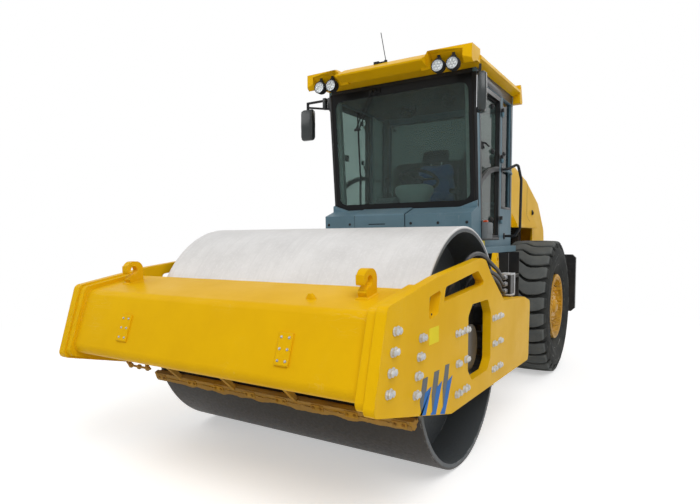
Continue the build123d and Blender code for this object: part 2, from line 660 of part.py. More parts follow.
def steer_barrel():
    place, length = cylinder_frame()
    eye = Cylinder(EYE_R, EYE_T) - Cylinder(STEER_PIN_R + RUNNING_FIT, EYE_T + 2)
    tube = cyl_x(100, BARREL_END, 0, 0, BARREL_R)
    neck = block(STEER_PIN_R + 12, 101, -38, 38, -EYE_T / 2 + 2, EYE_T / 2 - 2)
    bore = cyl_x(110, BARREL_END + 1, 0, 0, ROD_R + RUNNING_FIT)
    return place * (eye + neck + tube - bore)


BARREL_END = 568.0
ROD_EMBED = 253.0


def steer_rod():
    # The rod end carries its own pin, which floats between the link's lugs.
    place, length = cylinder_frame()
    rod = cyl_x(BARREL_END - ROD_EMBED, length - 40, 0, 0, ROD_R)
    rod += Pos(length, 0, 0) * Cylinder(EYE_R, EYE_T)
    return place * rod


# ==== cab =====================================================================================
def cab_front_x(z):
    # Outer face of the leaning front at a height.
    return CAB_FRONT_X + (z - CAB_FLOOR_Z) * CAB_LEAN / (CAB_TOP_Z - CAB_FLOOR_Z)


def cab_prism(inset_x, inset_z, half_w):
    z0, z1 = CAB_FLOOR_Z + inset_z, CAB_TOP_Z - inset_z
    return side_prism([(CAB_REAR_X + inset_x, z0), (cab_front_x(z0) - inset_x, z0),
                       (cab_front_x(z1) - inset_x, z1), (CAB_REAR_X + inset_x, z1)],
                      -half_w, half_w)


def door_outline(gap):
    # Door opening in the side wall, with a clearance inside it.
    z0, z1 = DOOR_Z0 + gap, DOOR_Z1 - gap
    pillar = 62.0
    return [(DOOR_REAR_X + gap, z0), (cab_front_x(z0) - pillar - gap, z0),
            (cab_front_x(z1) - pillar - gap, z1), (DOOR_REAR_X + gap, z1)]


def quarter_outline(gap):
    x0, x1 = CAB_REAR_X + 60 + gap, DOOR_REAR_X - 60 - gap
    return [(x0, DOOR_Z0 + 320 + gap), (x1, DOOR_Z0 + 320 + gap), (x1, DOOR_Z1 - gap),
            (x0, DOOR_Z1 - gap)]


def cab_frame():
    shell = cab_prism(0, 0, CAB_HALF_W) - cab_prism(CAB_WALL, CAB_WALL, CAB_HALF_W - CAB_WALL)
    for outline in (door_outline(0), quarter_outline(0)):
        shell -= side_prism(outline, -CAB_HALF_W - 1, CAB_HALF_W + 1)
    shell -= block(CAB_FRONT_X - 60, CAB_FRONT_X + 260, -CAB_HALF_W + 62, CAB_HALF_W - 62,
                   WINDSHIELD_Z0, WINDSHIELD_Z1 - 30)
    shell -= block(CAB_REAR_X - 1, CAB_REAR_X + CAB_WALL + 1, -CAB_HALF_W + 90, CAB_HALF_W - 90,
                   1900, 2850)
    return shell


def windshield():
    # One pane on the leaning front face.
    z0, z1 = WINDSHIELD_Z0 - 40, WINDSHIELD_Z1 + 10
    face = [(cab_front_x(z0), z0), (cab_front_x(z0) + GLASS_T, z0),
            (cab_front_x(z1) + GLASS_T, z1), (cab_front_x(z1), z1)]
    return side_prism(face, -CAB_HALF_W + 30, CAB_HALF_W - 30)


def rear_window():
    return block(CAB_REAR_X - GLASS_T, CAB_REAR_X, -CAB_HALF_W + 60, CAB_HALF_W - 60, 1870, 2880)


def side_window():
    return side_prism(quarter_outline(SOFT_GAP), CAB_HALF_W - 30, CAB_HALF_W - 30 + GLASS_T)


HINGE_Z = (1700.0, 2300.0, 2750.0)
HINGE_R = 13.0
HINGE_PIN_R = 6.0
HINGE_OUT = 16.0
DOOR_HINGE_X = DOOR_REAR_X - 2.0
DOOR_HINGE_Y = CAB_HALF_W + HINGE_OUT
KNUCKLE = 36.0


def door_knuckles():
    knuckles = Part()
    for z in HINGE_Z:
        part = cyl_z(DOOR_HINGE_X, DOOR_HINGE_Y, z, z + KNUCKLE, HINGE_R)
        part += block(DOOR_HINGE_X, DOOR_HINGE_X + 70, CAB_HALF_W, CAB_HALF_W + 8, z, z + KNUCKLE)
        part += block(DOOR_HINGE_X, DOOR_HINGE_X + 12, CAB_HALF_W, CAB_HALF_W + 12, z, z + KNUCKLE)
        part -= cyl_z(DOOR_HINGE_X, DOOR_HINGE_Y, z - 1, z + KNUCKLE + 1,
                      HINGE_PIN_R + RUNNING_FIT)
        knuckles += part
    return knuckles


def post_knuckles():
    # Pin and lower knuckle fixed on the cab's door post.
    knuckles = Part()
    for z in HINGE_Z:
        z0 = z - KNUCKLE - 1
        part = cyl_z(DOOR_HINGE_X, DOOR_HINGE_Y, z0, z - 1, HINGE_R)
        part += block(DOOR_HINGE_X - 70, DOOR_HINGE_X, CAB_HALF_W, CAB_HALF_W + 8, z0, z - 1)
        part += block(DOOR_HINGE_X - 12, DOOR_HINGE_X, CAB_HALF_W, CAB_HALF_W + 12, z0, z - 1)
        part += cyl_z(DOOR_HINGE_X, DOOR_HINGE_Y, z - 1, z + KNUCKLE, HINGE_PIN_R)
        knuckles += part
    return knuckles


def door_frame():
    # Left door: thin frame, bowed rail across it, and hinge leaves.
    outer, inner = door_outline(PANEL_GAP), door_outline(PANEL_GAP + 42)
    y0, y1 = CAB_HALF_W - DOOR_T, CAB_HALF_W
    frame = side_prism(outer, y0, y1) - side_prism(inner, y0 - 1, y1 + 1)
    x0, x1 = outer[0][0] + 10, outer[1][0] + 30
    arc = ThreePointArc((x0, 2195), ((x0 + x1) / 2, 2152), (x1, 2018))
    band = thicken_arc(arc, 22, y0 + 8, y1)
    inside = side_prism(door_outline(PANEL_GAP + 2), y0, y1)
    frame += band & inside
    frame += door_knuckles()
    return frame


def thicken_arc(arc, half, y0, y1):
    # Flat bar of even width along an arc in the (x, z) plane.
    face = Plane.XZ * make_face(offset(arc, half, kind=Kind.ARC, side=Side.BOTH))
    return Pos(0, y0, 0) * extrude(face, amount=y1 - y0, dir=(0, 1, 0))


def door_glass():
    y = CAB_HALF_W - DOOR_T
    return side_prism(door_outline(PANEL_GAP + 12), y - GLASS_T, y)


def cab_platform():
    x0, x1 = CAB_REAR_X - 40, CAB_FRONT_X + 60
    slab = block(x0, x1, -PLATFORM_HALF_W, PLATFORM_HALF_W, CAB_FLOOR_Z - PLATFORM_T, CAB_FLOOR_Z)
    slab = fillet(slab.edges().filter_by(Axis.Z), 25)
    return slab - cyl_y(AXLE_X, -PLATFORM_HALF_W - 1, PLATFORM_HALF_W + 1, TYRE_R, TYRE_R + 40)


def front_cowl():
    x = CAB_FRONT_X
    body = side_prism([(x - 5, 1500), (x + 230, 1500), (x + 240, 1742), (x + 40, 1808),
                       (x - 5, 1808)], -CAB_HALF_W, CAB_HALF_W)
    return body - cab_prism(0, 0, CAB_HALF_W + 10) - windshield()


ROOF_TOP_Z = 3105.0
VISOR_REACH = 148.0            # visor's front edge ahead of the roof slab
VISOR_EDGE_Z = 3010.0
POD_EDGE_Z = 3078.0
POD_TIP_REACH = 20.0           # pods' front edge ahead of the slab, at the outer tip
POD_REACH = 92.0
POD_Y = (358.0, 476.0, 800.0)  # foot and top of the sloping inner side, and the tip
POD_LOW_Z = 2955.0
POCKET_Y = (448.0, 726.0)
POCKET_TOP_Z = 3064.0
LAMP_R = 53.0
LAMP_T = 58.0
LAMP_FACE_X = ROOF_FRONT_X + 44.0
LAMP_Y = (520.0, 646.0)
LAMP_Z = 2958.0


def lamp_pod(back):
    # Left pod: raked face, sloping inner side, tip swept back, open pocket under its brow.
    x1 = ROOF_FRONT_X
    foot_y, top_y, tip_y = POD_Y
    pod = side_prism([(back, ROOF_Z0), (back, ROOF_TOP_Z), (x1 + 10, ROOF_TOP_Z - 4),
                      (x1 + POD_REACH, POD_EDGE_Z), (x1 + 10, POD_LOW_Z + 15),
                      (x1 - 10, POD_LOW_Z), (x1 - 40, POD_LOW_Z + 10), (x1 - 110, ROOF_Z0)],
                     foot_y, tip_y)
    pod -= front_prism([(foot_y - 1, VISOR_EDGE_Z - 20), (top_y, ROOF_TOP_Z + 1),
                        (foot_y - 1, ROOF_TOP_Z + 1)], back + 80, x1 + POD_REACH + 1)
    sweep_back = [(x1 + POD_REACH + 1, top_y), (x1 + POD_REACH + 1, tip_y + 1),
                  (x1 + POD_TIP_REACH, tip_y + 1)]
    pod -= top_prism(sweep_back, ROOF_Z0 - 100, ROOF_TOP_Z + 1)
    pocket = side_prism([(x1 + 130, POD_LOW_Z - 30), (x1 + 130, POCKET_TOP_Z + 22),
                         (x1 + 30, POCKET_TOP_Z), (x1 - 60, POCKET_TOP_Z - 92),
                         (x1 - 60, POD_LOW_Z - 30)], *POCKET_Y)
    return pod - pocket


def cab_roof():
    # Slab with raked sides, a wedge-shaped visor in front and two lamp pods on it.
    x0, x1, half = ROOF_REAR_X, ROOF_FRONT_X, ROOF_HALF_W
    back = x1 - 200
    slab = front_prism([(-CAB_HALF_W, ROOF_Z0), (CAB_HALF_W, ROOF_Z0), (half, ROOF_Z0 + 34),
                        (half, ROOF_Z0 + 62), (half - 70, ROOF_TOP_Z), (70 - half, ROOF_TOP_Z),
                        (-half, ROOF_Z0 + 62), (-half, ROOF_Z0 + 34)], x0 + 40, back + 1)
    tail = side_prism([(x0, ROOF_Z0 - 50), (x0 + 20, ROOF_Z0 - 70), (CAB_REAR_X - 12, ROOF_Z0 - 70),
                       (CAB_REAR_X - 12, ROOF_Z0), (x0 + 100, ROOF_Z0 + 30), (x0 + 100, ROOF_TOP_Z),
                       (x0 + 60, ROOF_TOP_Z)], -half, half)
    visor = side_prism([(back, ROOF_Z0), (back, ROOF_TOP_Z), (x1 - 40, ROOF_TOP_Z - 6),
                        (x1 + VISOR_REACH, VISOR_EDGE_Z), (x1 + VISOR_REACH - 6, VISOR_EDGE_Z - 14),
                        (x1 - 25, VISOR_EDGE_Z - 44), (x1 - 60, VISOR_EDGE_Z - 40),
                        (x1 - 90, ROOF_Z0)], -POD_Y[0] - 60, POD_Y[0] + 60)
    pod = lamp_pod(back)
    return slab + tail + visor + pod + mirrored(pod)


def roof_lamps():
    # Round lamps hanging under the pods' brows by short straps.
    lamps = Part()
    for y in LAMP_Y:
        lamps += cyl_x(LAMP_FACE_X - LAMP_T, LAMP_FACE_X, y, LAMP_Z, LAMP_R)
        lamps += block(LAMP_FACE_X - 48, LAMP_FACE_X - 26, y - 12, y + 12, LAMP_Z + LAMP_R - 4,
                       POCKET_TOP_Z + 10)
    return both_sides(lamps - cab_roof())


ANTENNA_X = ROOF_FRONT_X - 52.0
ANTENNA_TOP = 3373.0
ANTENNA_LEAN = 11.0            # towards the right side
WHIP_R = 3.5


def antenna():
    # Threaded base and leaning whip on the visor, with a small bracket beside it.
    base = cyl_z(ANTENNA_X, 0, ROOF_TOP_Z - 60, ROOF_TOP_Z + 16, 14)
    lean = math.radians(ANTENNA_LEAN)
    height = ANTENNA_TOP - (ROOF_TOP_Z + 15) - WHIP_R * math.sin(lean)
    rod = Cylinder(WHIP_R, height / math.cos(lean), align=(Align.CENTER, Align.CENTER, Align.MIN))
    rod = Pos(ANTENNA_X, 0, ROOF_TOP_Z + 15) * Rot(ANTENNA_LEAN, 0, 0) * rod
    bracket = block(ANTENNA_X - 25, ANTENNA_X + 25, -110, -60, ROOF_TOP_Z - 60, ROOF_TOP_Z + 12)
    strip = block(ANTENNA_X - 25, ANTENNA_X + 20, -62, 6, ROOF_TOP_Z - 50, ROOF_TOP_Z + 4)
    return base + rod + bracket + strip - cab_roof()


MIRROR_POST_Z = 2900.0
MIRROR_ARM = 290.0             # post to the middle of the head
MIRROR_W = 140.0
MIRROR_Z0 = 2560.0
MIRROR_Z1 = 2860.0
MIRROR_SWING = {"left": 72.0, "right": 0.0}    # folded forwards


def mirror_set(swing):
    # Post, tube arm and tall head, made for the left side and swung about the post.
    post = cyl_z(0, 14, MIRROR_POST_Z - 80, MIRROR_POST_Z + 50, 14)
    arm = block(-10, 10, 14, MIRROR_ARM + 12, MIRROR_POST_Z + 24, MIRROR_POST_Z + 44)
    arm += block(-10, 10, MIRROR_ARM - 10, MIRROR_ARM + 12, MIRROR_Z1 - 20, MIRROR_POST_Z + 44)
    arm += front_prism([(14, MIRROR_POST_Z - 70), (14, MIRROR_POST_Z - 52),
                        (MIRROR_ARM - 10, MIRROR_POST_Z - 2), (MIRROR_ARM - 10,
                        MIRROR_POST_Z - 20)], -10, 10)
    head = block(-28, 28, MIRROR_ARM - MIRROR_W / 2, MIRROR_ARM + MIRROR_W / 2,
                 MIRROR_Z0, MIRROR_Z1)
    head = fillet(head.edges().filter_by(Axis.X), 38)
    place = Pos(cab_front_x(MIRROR_POST_Z) - 40, CAB_HALF_W, 0)
    turned = Pos(0, 14, 0) * Rot(0, 0, -swing) * Pos(0, -14, 0)
    return place * turned * (post + arm + head)


def mirrors():
    left = mirror_set(MIRROR_SWING["left"])
    right = mirrored(mirror_set(MIRROR_SWING["right"]))
    return Compound(children=left.solids() + right.solids())


def handrails():
    # Bent grab rail behind each door.
    pts = [(PIVOT_X - 500, CAB_HALF_W - 1, 2200), (PIVOT_X - 500, CAB_HALF_W + 60, 2200),
           (PIVOT_X - 560, 880, 2250), (PIVOT_X - 600, 905, 2100), (PIVOT_X - 600, 900, 1620),
           (PIVOT_X - 620, 850, 1540), (PIVOT_X - 620, CAB_HALF_W - 1, 1540)]
    path = FilletPolyline(*pts, radius=24)
    tube = sweep(Plane(origin=pts[0], z_dir=(0, 1, 0)) * Circle(13), path=path)
    return both_sides(tube - cab_prism(0, 0, CAB_HALF_W))


def seat_base():
    x = CAB_REAR_X + 420
    base = block(x - 230, x + 230, -230, 230, CAB_FLOOR_Z + CAB_WALL, 1700)
    base += block(x - 250, x + 250, -260, 260, 1700, 1760)
    base += block(x - 290, x - 250, -220, 220, 1740, 2350)
    base += block(x - 291, x - 230, -220, 220, 1700, 1760)
    return base


def seat_cushion():
    x = CAB_REAR_X + 420
    pad = block(x - 190, x + 260, -250, 250, 1760 + SOFT_GAP, 1870)
    return fillet(pad.edges(), 30)


def seat_back():
    x = CAB_REAR_X + 420
    pad = block(x - 250 + SOFT_GAP, x - 140, -240, 240, 1885, 2480)
    return fillet(pad.edges(), 30)


def dash_console():
    x = cab_front_x(1500) - CAB_WALL
    body = side_prism([(x - 380, CAB_FLOOR_Z + CAB_WALL), (x - 60, CAB_FLOOR_Z + CAB_WALL),
                       (x - 120, 2030), (x - 300, 2060), (x - 330, 1960)], -190, 190)
    return body


def steering_wheel():
    x = cab_front_x(1500) - CAB_WALL - 400
    wheel = Torus(190, 16) + Cylinder(50, 40)
    for angle in (90, 210, 330):
        wheel += Rot(0, 0, angle) * Pos(110, 0, 0) * Box(170, 26, 12)
    column = Pos(0, 0, -100) * Cylinder(26, 170)
    placed = Pos(x + 60, 0, 2120) * Rot(0, -25, 0) * (wheel + column)
    return placed - dash_console()


def side_console():
    x = CAB_REAR_X + 420
    box = block(x - 200, x + 280, -500, -290, CAB_FLOOR_Z + CAB_WALL, 1960)
    box = chamfer(box.edges().filter_by(Axis.Y).group_by(Axis.Z)[-1], 60)
    return box + cyl_z(x + 150, -395, 1950, 2080, 18)


# ==== hood ====================================================================================
# Centre-line profile of the hood from front to back: x from the cab end, height.
def hood_profile(inset):
    return [
        (HOOD_FRONT_X, HOOD_LOW_Z),
        (HOOD_FRONT_X, 2400.0 - inset),
        (AXLE_X + 80, 2370.0 - inset),
        (AXLE_X - 450, 2270.0 - inset),
        (AXLE_X - 1120, 2030.0 - inset),
        (REAR_X + 110 + inset, 1780.0 - inset / 2),
        (REAR_X + 50 + inset, 1450.0),
        (REAR_X + 50 + inset, 1412.0),
        (AXLE_X - TYRE_R, 1412.0),
        (AXLE_X - TYRE_R + 15, ARCH_EDGE_Z),
        (AXLE_X + 290, ARCH_EDGE_Z),
    ]


def top_side_edges(solid, half_w):
    return [e for e in solid.edges() if abs(abs(e.center().Y) - half_w) < 1
            and e.center().Z > HOOD_SIDE_Z and e.center().X < HOOD_FRONT_X - HOOD_T - 1]


HOOD_SIDE_Z = 1850.0
HOOD_EDGE_R = 110.0


def hood_ear():
    # Knuckle on the hood's back wall, bored for the hinge pin.
    (x, z), (y0, y1) = HOOD_PIVOT, HOOD_EAR_Y
    ear = cyl_y(x, y0, y1, z, HOOD_KNUCKLE_R)
    ear += block(REAR_X + 68, x, y0, y1, z + 4, z + 44)
    ear += block(x - HOOD_KNUCKLE_R, x + HOOD_KNUCKLE_R - 6, y0, y1, z + 2, z + 44)
    return ear - cyl_y(x, y0 - 1, y1 + 1, z, HOOD_PIN_R + RUNNING_FIT)


def hood():
    # Shell with a closed front wall, open below, and a flared fender over each tyre.
    outer = side_prism(hood_profile(0.0), -HOOD_HALF_W, HOOD_HALF_W)
    outer = fillet(top_side_edges(outer, HOOD_HALF_W), HOOD_EDGE_R)
    skin = hood_profile(HOOD_T)
    wall_x = HOOD_FRONT_X - HOOD_T
    half = HOOD_HALF_W - HOOD_T
    inner = side_prism([(wall_x, ARCH_EDGE_Z + 60.0), (wall_x, skin[1][1])] + skin[2:7]
                       + [(x, z - 1) for x, z in skin[7:]], -half, half)
    inner = fillet(top_side_edges(inner, half), HOOD_EDGE_R - HOOD_T)
    fender = front_prism([(HOOD_HALF_W - 2, ARCH_EDGE_Z), (FENDER_OUT_Y, ARCH_EDGE_Z),
                          (FENDER_OUT_Y, ARCH_EDGE_Z + 28), (HOOD_HALF_W - 2, ARCH_EDGE_Z + 160)],
                         AXLE_X - TYRE_R + 15, AXLE_X + 290)
    ear = hood_ear()
    return (outer - inner) + fender + mirrored(fender) + ear + mirrored(ear)


def build_all():
    save("front_beam", front_beam())
    plate = side_plate()
    save("side_plate_left", plate)
    save("side_plate_right", mirrored(plate))
    save("frame_bolts", frame_bolts())
    save("rear_cross_beam", rear_cross_beam())
    save("lifting_hooks", lifting_hooks())
    save("drum_mounts", both_sides(drum_mount()))
    save("hose_clamps", hose_clamps())
    for name, route in (("upper", UPPER_HOSE), ("middle", MIDDLE_HOSE), ("lower", LOWER_HOSE)):
        save("drum_hose_left_" + name, hose(route))
        save("drum_hose_right_" + name, mirrored(hose(route)))
    save("front_scraper", front_scraper())
    save("rear_scraper", rear_scraper())
    save("drum", drum())
    save("centre_link", centre_link())
    save("rear_frame", rear_frame())
    save("engine", engine())
    save("radiator", radiator())
    save("rear_axle", rear_axle())
    save("counterweight", counterweight())
    save("mud_plates", mud_plates())
    save("steps", steps())
    save("fuel_tank", side_tank())
    save("hydraulic_tank", mirrored(side_tank()))
    save("tyre_left", tyre())
    save("tyre_right", mirrored(tyre()))
    save("rim_left", rim())
    save("rim_right", mirrored(rim()))
    save("steer_barrel_left", steer_barrel())
    save("steer_barrel_right", mirrored(steer_barrel()))
    save("steer_rod_left", steer_rod())
    save("steer_rod_right", mirrored(steer_rod()))
    save("cab_frame", cab_frame() + post_knuckles() + mirrored(post_knuckles()))
    save("windshield", windshield())
    save("rear_window", rear_window())
    save("side_window_left", side_window())
    save("side_window_right", mirrored(side_window()))
    save("door_left", door_frame())
    save("door_right", mirrored(door_frame()))
    save("door_glass_left", door_glass())
    save("door_glass_right", mirrored(door_glass()))
    save("cab_platform", cab_platform())
    save("front_cowl", front_cowl())
    save("cab_roof", cab_roof())
    save("roof_lamps", roof_lamps())
    save("antenna", antenna())
    save("mirrors", mirrors())
    save("handrails", handrails())
    save("seat_base", seat_base())
    save("seat_cushion", seat_cushion())
    save("seat_back", seat_back())
    save("dash_console", dash_console())
    save("steering_wheel", steering_wheel())
    save("side_console", side_console())
    save("hood", hood())


os.makedirs("parts", exist_ok=True)
build_all()
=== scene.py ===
import math
import random

import bpy
from mathutils import Matrix, Vector


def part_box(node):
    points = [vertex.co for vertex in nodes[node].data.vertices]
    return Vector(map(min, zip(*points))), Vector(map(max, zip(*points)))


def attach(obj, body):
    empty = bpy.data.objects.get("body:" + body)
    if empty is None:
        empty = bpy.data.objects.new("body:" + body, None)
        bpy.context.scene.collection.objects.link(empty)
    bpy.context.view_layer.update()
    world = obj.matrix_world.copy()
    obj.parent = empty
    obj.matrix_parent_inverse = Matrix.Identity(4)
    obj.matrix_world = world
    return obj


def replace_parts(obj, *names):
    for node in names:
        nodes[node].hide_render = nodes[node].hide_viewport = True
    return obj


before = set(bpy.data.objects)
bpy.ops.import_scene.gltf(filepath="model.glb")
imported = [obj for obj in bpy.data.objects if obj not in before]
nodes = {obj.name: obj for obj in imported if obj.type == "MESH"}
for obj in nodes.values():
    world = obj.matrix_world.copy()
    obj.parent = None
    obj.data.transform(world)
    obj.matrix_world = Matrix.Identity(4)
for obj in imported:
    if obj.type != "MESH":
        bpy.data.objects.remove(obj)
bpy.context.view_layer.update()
random.seed(7)

# Places that the rest is measured from, all read from the frame.
drumLow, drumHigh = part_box("drum")
drumX = (drumLow.x + drumHigh.x) / 2
drumR = (drumHigh.z - drumLow.z) / 2
tyreLow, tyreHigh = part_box("tyre_left")
axleX = (tyreLow.x + tyreHigh.x) / 2
tyreR = (tyreHigh.z - tyreLow.z) / 2
trackHalf = (tyreLow.y + tyreHigh.y) / 2
plateLow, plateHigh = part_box("side_plate_left")


# ---- working by hand: select, add, shape, finish ----
def deselectAll():
    bpy.ops.object.select_all(action="DESELECT")


def take(piece):
    deselectAll()
    piece.select_set(True)
    bpy.context.view_layer.objects.active = piece
    return piece


def settle(piece, name=None):
    # place, turn and size go into the mesh
    take(piece)
    bpy.ops.object.transform_apply(location=True, rotation=True, scale=True)
    if name:
        piece.name = name
        piece.data.name = name
    return piece


def editMesh(piece, test=None, faces=True):
    # opens edit mode with the faces or points chosen by a test on their place and normal
    take(piece)
    mesh = piece.data
    for edge in mesh.edges:
        edge.select = False
    for point in mesh.vertices:
        point.select = bool(not faces and test and test(point.co, point.normal))
    for face in mesh.polygons:
        face.select = bool(faces and (test is None or test(face.center, face.normal)))
    bpy.ops.object.mode_set(mode="EDIT")
    bpy.context.tool_settings.mesh_select_mode = (not faces, False, faces)
    if test is None:
        bpy.ops.mesh.select_all(action="SELECT")


def doneEdit():
    bpy.ops.object.mode_set(mode="OBJECT")


def outward(piece):
    editMesh(piece)
    bpy.ops.mesh.remove_doubles(threshold=0.00001)
    bpy.ops.mesh.normals_make_consistent(inside=False)
    doneEdit()
    return piece


def pushMesh(piece, push):
    editMesh(piece)
    bpy.ops.mesh.extrude_region_move(TRANSFORM_OT_translate={"value": push})
    doneEdit()


def addSlab(across, along):
    # a fine grid pushed up to a slab, 2 by 2 and 1 thick, to be shaped point by point
    deselectAll()
    bpy.ops.mesh.primitive_grid_add(x_subdivisions=across, y_subdivisions=along, size=2)
    pushMesh(bpy.context.object, (0, 0, 1))
    return settle(bpy.context.object)


def insetFaces(piece, test, thickness, depth):
    editMesh(piece, test)
    bpy.ops.mesh.inset(thickness=thickness, depth=depth)
    doneEdit()


def addModifier(piece, kind, **values):
    take(piece)
    made = piece.modifiers.new(kind.lower(), kind)
    for key, value in values.items():
        setattr(made, key, value)
    bpy.ops.object.modifier_apply(modifier=made.name)
    return piece


def bevelEdges(piece, width, segments=2, angle=30):
    return addModifier(piece, "BEVEL", width=width, segments=segments, limit_method="ANGLE",
        angle_limit=math.radians(angle), use_clamp_overlap=True)


def addBlock(low, high, bevel=0.0, segments=2, name=None):
    low, high = Vector(low), Vector(high)
    deselectAll()
    bpy.ops.mesh.primitive_cube_add(size=1, location=(low + high) / 2)
    piece = bpy.context.object
    piece.scale = [max(abs(c), 0.0002) for c in (high - low)]
    settle(piece, name)
    return bevelEdges(piece, bevel, segments) if bevel else piece


def addRod(start, end, radius, sides=20, bevel=0.0, radiusEnd=None, name=None):
    start, end = Vector(start), Vector(end)
    along = end - start
    deselectAll()
    if radiusEnd is None:
        bpy.ops.mesh.primitive_cylinder_add(vertices=sides, radius=radius, depth=along.length)
    else:
        bpy.ops.mesh.primitive_cone_add(vertices=sides, radius1=radius, radius2=radiusEnd,
            depth=along.length)
    piece = bpy.context.object
    piece.rotation_euler = along.to_track_quat("Z", "Y").to_euler()
    piece.location = (start + end) / 2
    settle(piece, name)
    return bevelEdges(piece, bevel) if bevel else piece


def addCircle(count, fill):
    deselectAll()
    bpy.ops.mesh.primitive_circle_add(vertices=count, fill_type=fill)
    return bpy.context.object


def addPlate(outline, push, bevel=0.0, segments=2, name=None):
    # a flat outline of points in space, pushed to a thickness
    piece = addCircle(len(outline), "NGON")
    for point, place in zip(piece.data.vertices, outline):
        point.co = place
    pushMesh(piece, push)
    settle(piece, name)
    outward(piece)
    return bevelEdges(piece, bevel, segments) if bevel else piece


def addTurned(profile, centre, axis="y", steps=48, name=None):
    # closed cross-section of (radius, along) rows spun about an axis through centre
    piece = addCircle(len(profile), "NOTHING")
    toSpace = {"y": lambda r, a: (r, a, 0), "x": lambda r, a: (a, r, 0), "z": lambda r, a: (r, 0, a)}[axis]
    for point, (r, a) in zip(piece.data.vertices, profile):
        point.co = toSpace(r, a)
    editMesh(piece)
    turnAxis = {"x": (1, 0, 0), "y": (0, 1, 0), "z": (0, 0, 1)}[axis]
    bpy.ops.mesh.spin(steps=steps, angle=math.tau, center=(0, 0, 0), axis=turnAxis)
    doneEdit()
    piece.location = centre
    settle(piece, name)
    return outward(piece)


def addLoft(rings, steps=32, name=None):
    # closed skin through rounded outlines; rows of height, middle x and y, half sizes x and y, squareness
    piece = addCircle(steps, "NGON")
    editMesh(piece)
    for _ in rings[1:]:
        bpy.ops.mesh.extrude_region_move(TRANSFORM_OT_translate={"value": (0, 0, 1)})
    doneEdit()
    for point in piece.data.vertices:
        z, x, y, halfX, halfY, square = rings[round(point.co.z)]
        angle = math.atan2(point.co.y, point.co.x)
        c, s = math.cos(angle), math.sin(angle)
        point.co = (x + halfX * math.copysign(abs(c) ** (2 / square), c),
            y + halfY * math.copysign(abs(s) ** (2 / square), s), z)
    piece.name = name or piece.name
    return outward(piece)


def addStack(x, y, rows, steps=32, name=None):
    # a loft about one middle; rows of height, half size (two where they differ) and squareness
    return addLoft([(row[0], x, y, row[1], row[-2], row[-1]) for row in rows], steps, name)


def addCurve(name, points, radius, order=3, sides=6):
    # smooth tube along a route's points
    line = bpy.data.curves.new(name, "CURVE")
    line.dimensions = "3D"
    line.bevel_depth = radius
    line.bevel_resolution = sides
    line.resolution_u = 10
    line.use_fill_caps = True
    spline = line.splines.new("NURBS")
    spline.points.add(len(points) - 1)
    for point, place in zip(spline.points, points):
        point.co = (*place, 1)
    spline.order_u = order
    spline.use_endpoint_u = True
    piece = bpy.data.objects.new(name, line)
    bpy.context.scene.collection.objects.link(piece)
    return piece


def addTube(points, radius, order=3, sides=3, name=None):
    # the same, made mesh
    take(addCurve(name or "tube", points, radius, order, sides))
    bpy.ops.object.convert(target="MESH")
    return outward(bpy.context.object)


def joinPieces(name, parts):
    deselectAll()
    for part in parts:
        part.select_set(True)
    bpy.context.view_layer.objects.active = parts[0]
    if len(parts) > 1:
        bpy.ops.object.join()
    piece = bpy.context.object
    piece.name = name
    piece.data.name = name
    return piece


def copyPiece(piece, move=(0, 0, 0), turn=None):
    twin = piece.copy()
    twin.data = piece.data.copy()
    bpy.context.scene.collection.objects.link(twin)
    twin.data.transform(Matrix.Translation(move) @ (turn or Matrix.Identity(4)))
    return twin


def mirrorPiece(piece, name):
    # the other side's twin, with its faces turned the right way again
    twin = copyPiece(piece)
    twin.name = name
    twin.data.transform(Matrix.Scale(-1, 4, (0, 1, 0)))
    return outward(twin)


def turnAbout(centre, axis, angle):
    centre = Vector(centre)
    return Matrix.Translation(centre) @ Matrix.Rotation(angle, 4, axis) @ Matrix.Translation(-centre)


def cutAway(piece, cutters):
    # takes the cutters' shapes out of a piece
    cutter = joinPieces("cutter", cutters)
    addModifier(piece, "BOOLEAN", object=cutter, operation="DIFFERENCE", solver="EXACT")
    bpy.data.objects.remove(cutter)
    return piece


def workingCopy(name, node):
    # a merged copy of a carried-over node, to be worked on and shown in its place
    twin = bpy.data.objects.new(name, nodes[node].data.copy())
    bpy.context.scene.collection.objects.link(twin)
    outward(twin)
    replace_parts(twin, node)
    return twin


def finishPiece(piece, body, material, smooth=35):
    take(piece)
    if piece.type == "MESH" and smooth:
        bpy.ops.object.shade_smooth_by_angle(angle=math.radians(smooth))
    piece.data.materials.clear()
    piece.data.materials.append(material)
    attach(piece, body)
    return piece


def bothSides(piece, name, bodies, material, smooth=35):
    # piece is the left one; bodies names the left and the right body
    twin = mirrorPiece(piece, name + "Right")
    piece.name = name + "Left"
    finishPiece(piece, bodies[0], material, smooth)
    finishPiece(twin, bodies[1], material, smooth)


def sidePair(name, parts, bodies, material, smooth=35):
    bothSides(joinPieces(name, parts), name, bodies, material, smooth)


def single(name, parts, body, material, smooth=35):
    return finishPiece(joinPieces(name, parts), body, material, smooth)


rootPair, doorPair = ("root", "root"), ("cab_door_left", "cab_door_right")
framePair, hoodPair = ("front_frame", "front_frame"), ("engine_hood", "engine_hood")


print("stage: frame loaded,", len(nodes), "nodes")


# ---- camera ----
shot = {"place": (5.24, 2.257, 1.522), "yaw": 214.55, "pitch": -3.35, "roll": -0.27, "lens": 28.66,
    "sensor": 36.0, "shiftX": 0.0713, "shiftY": 0.0277}


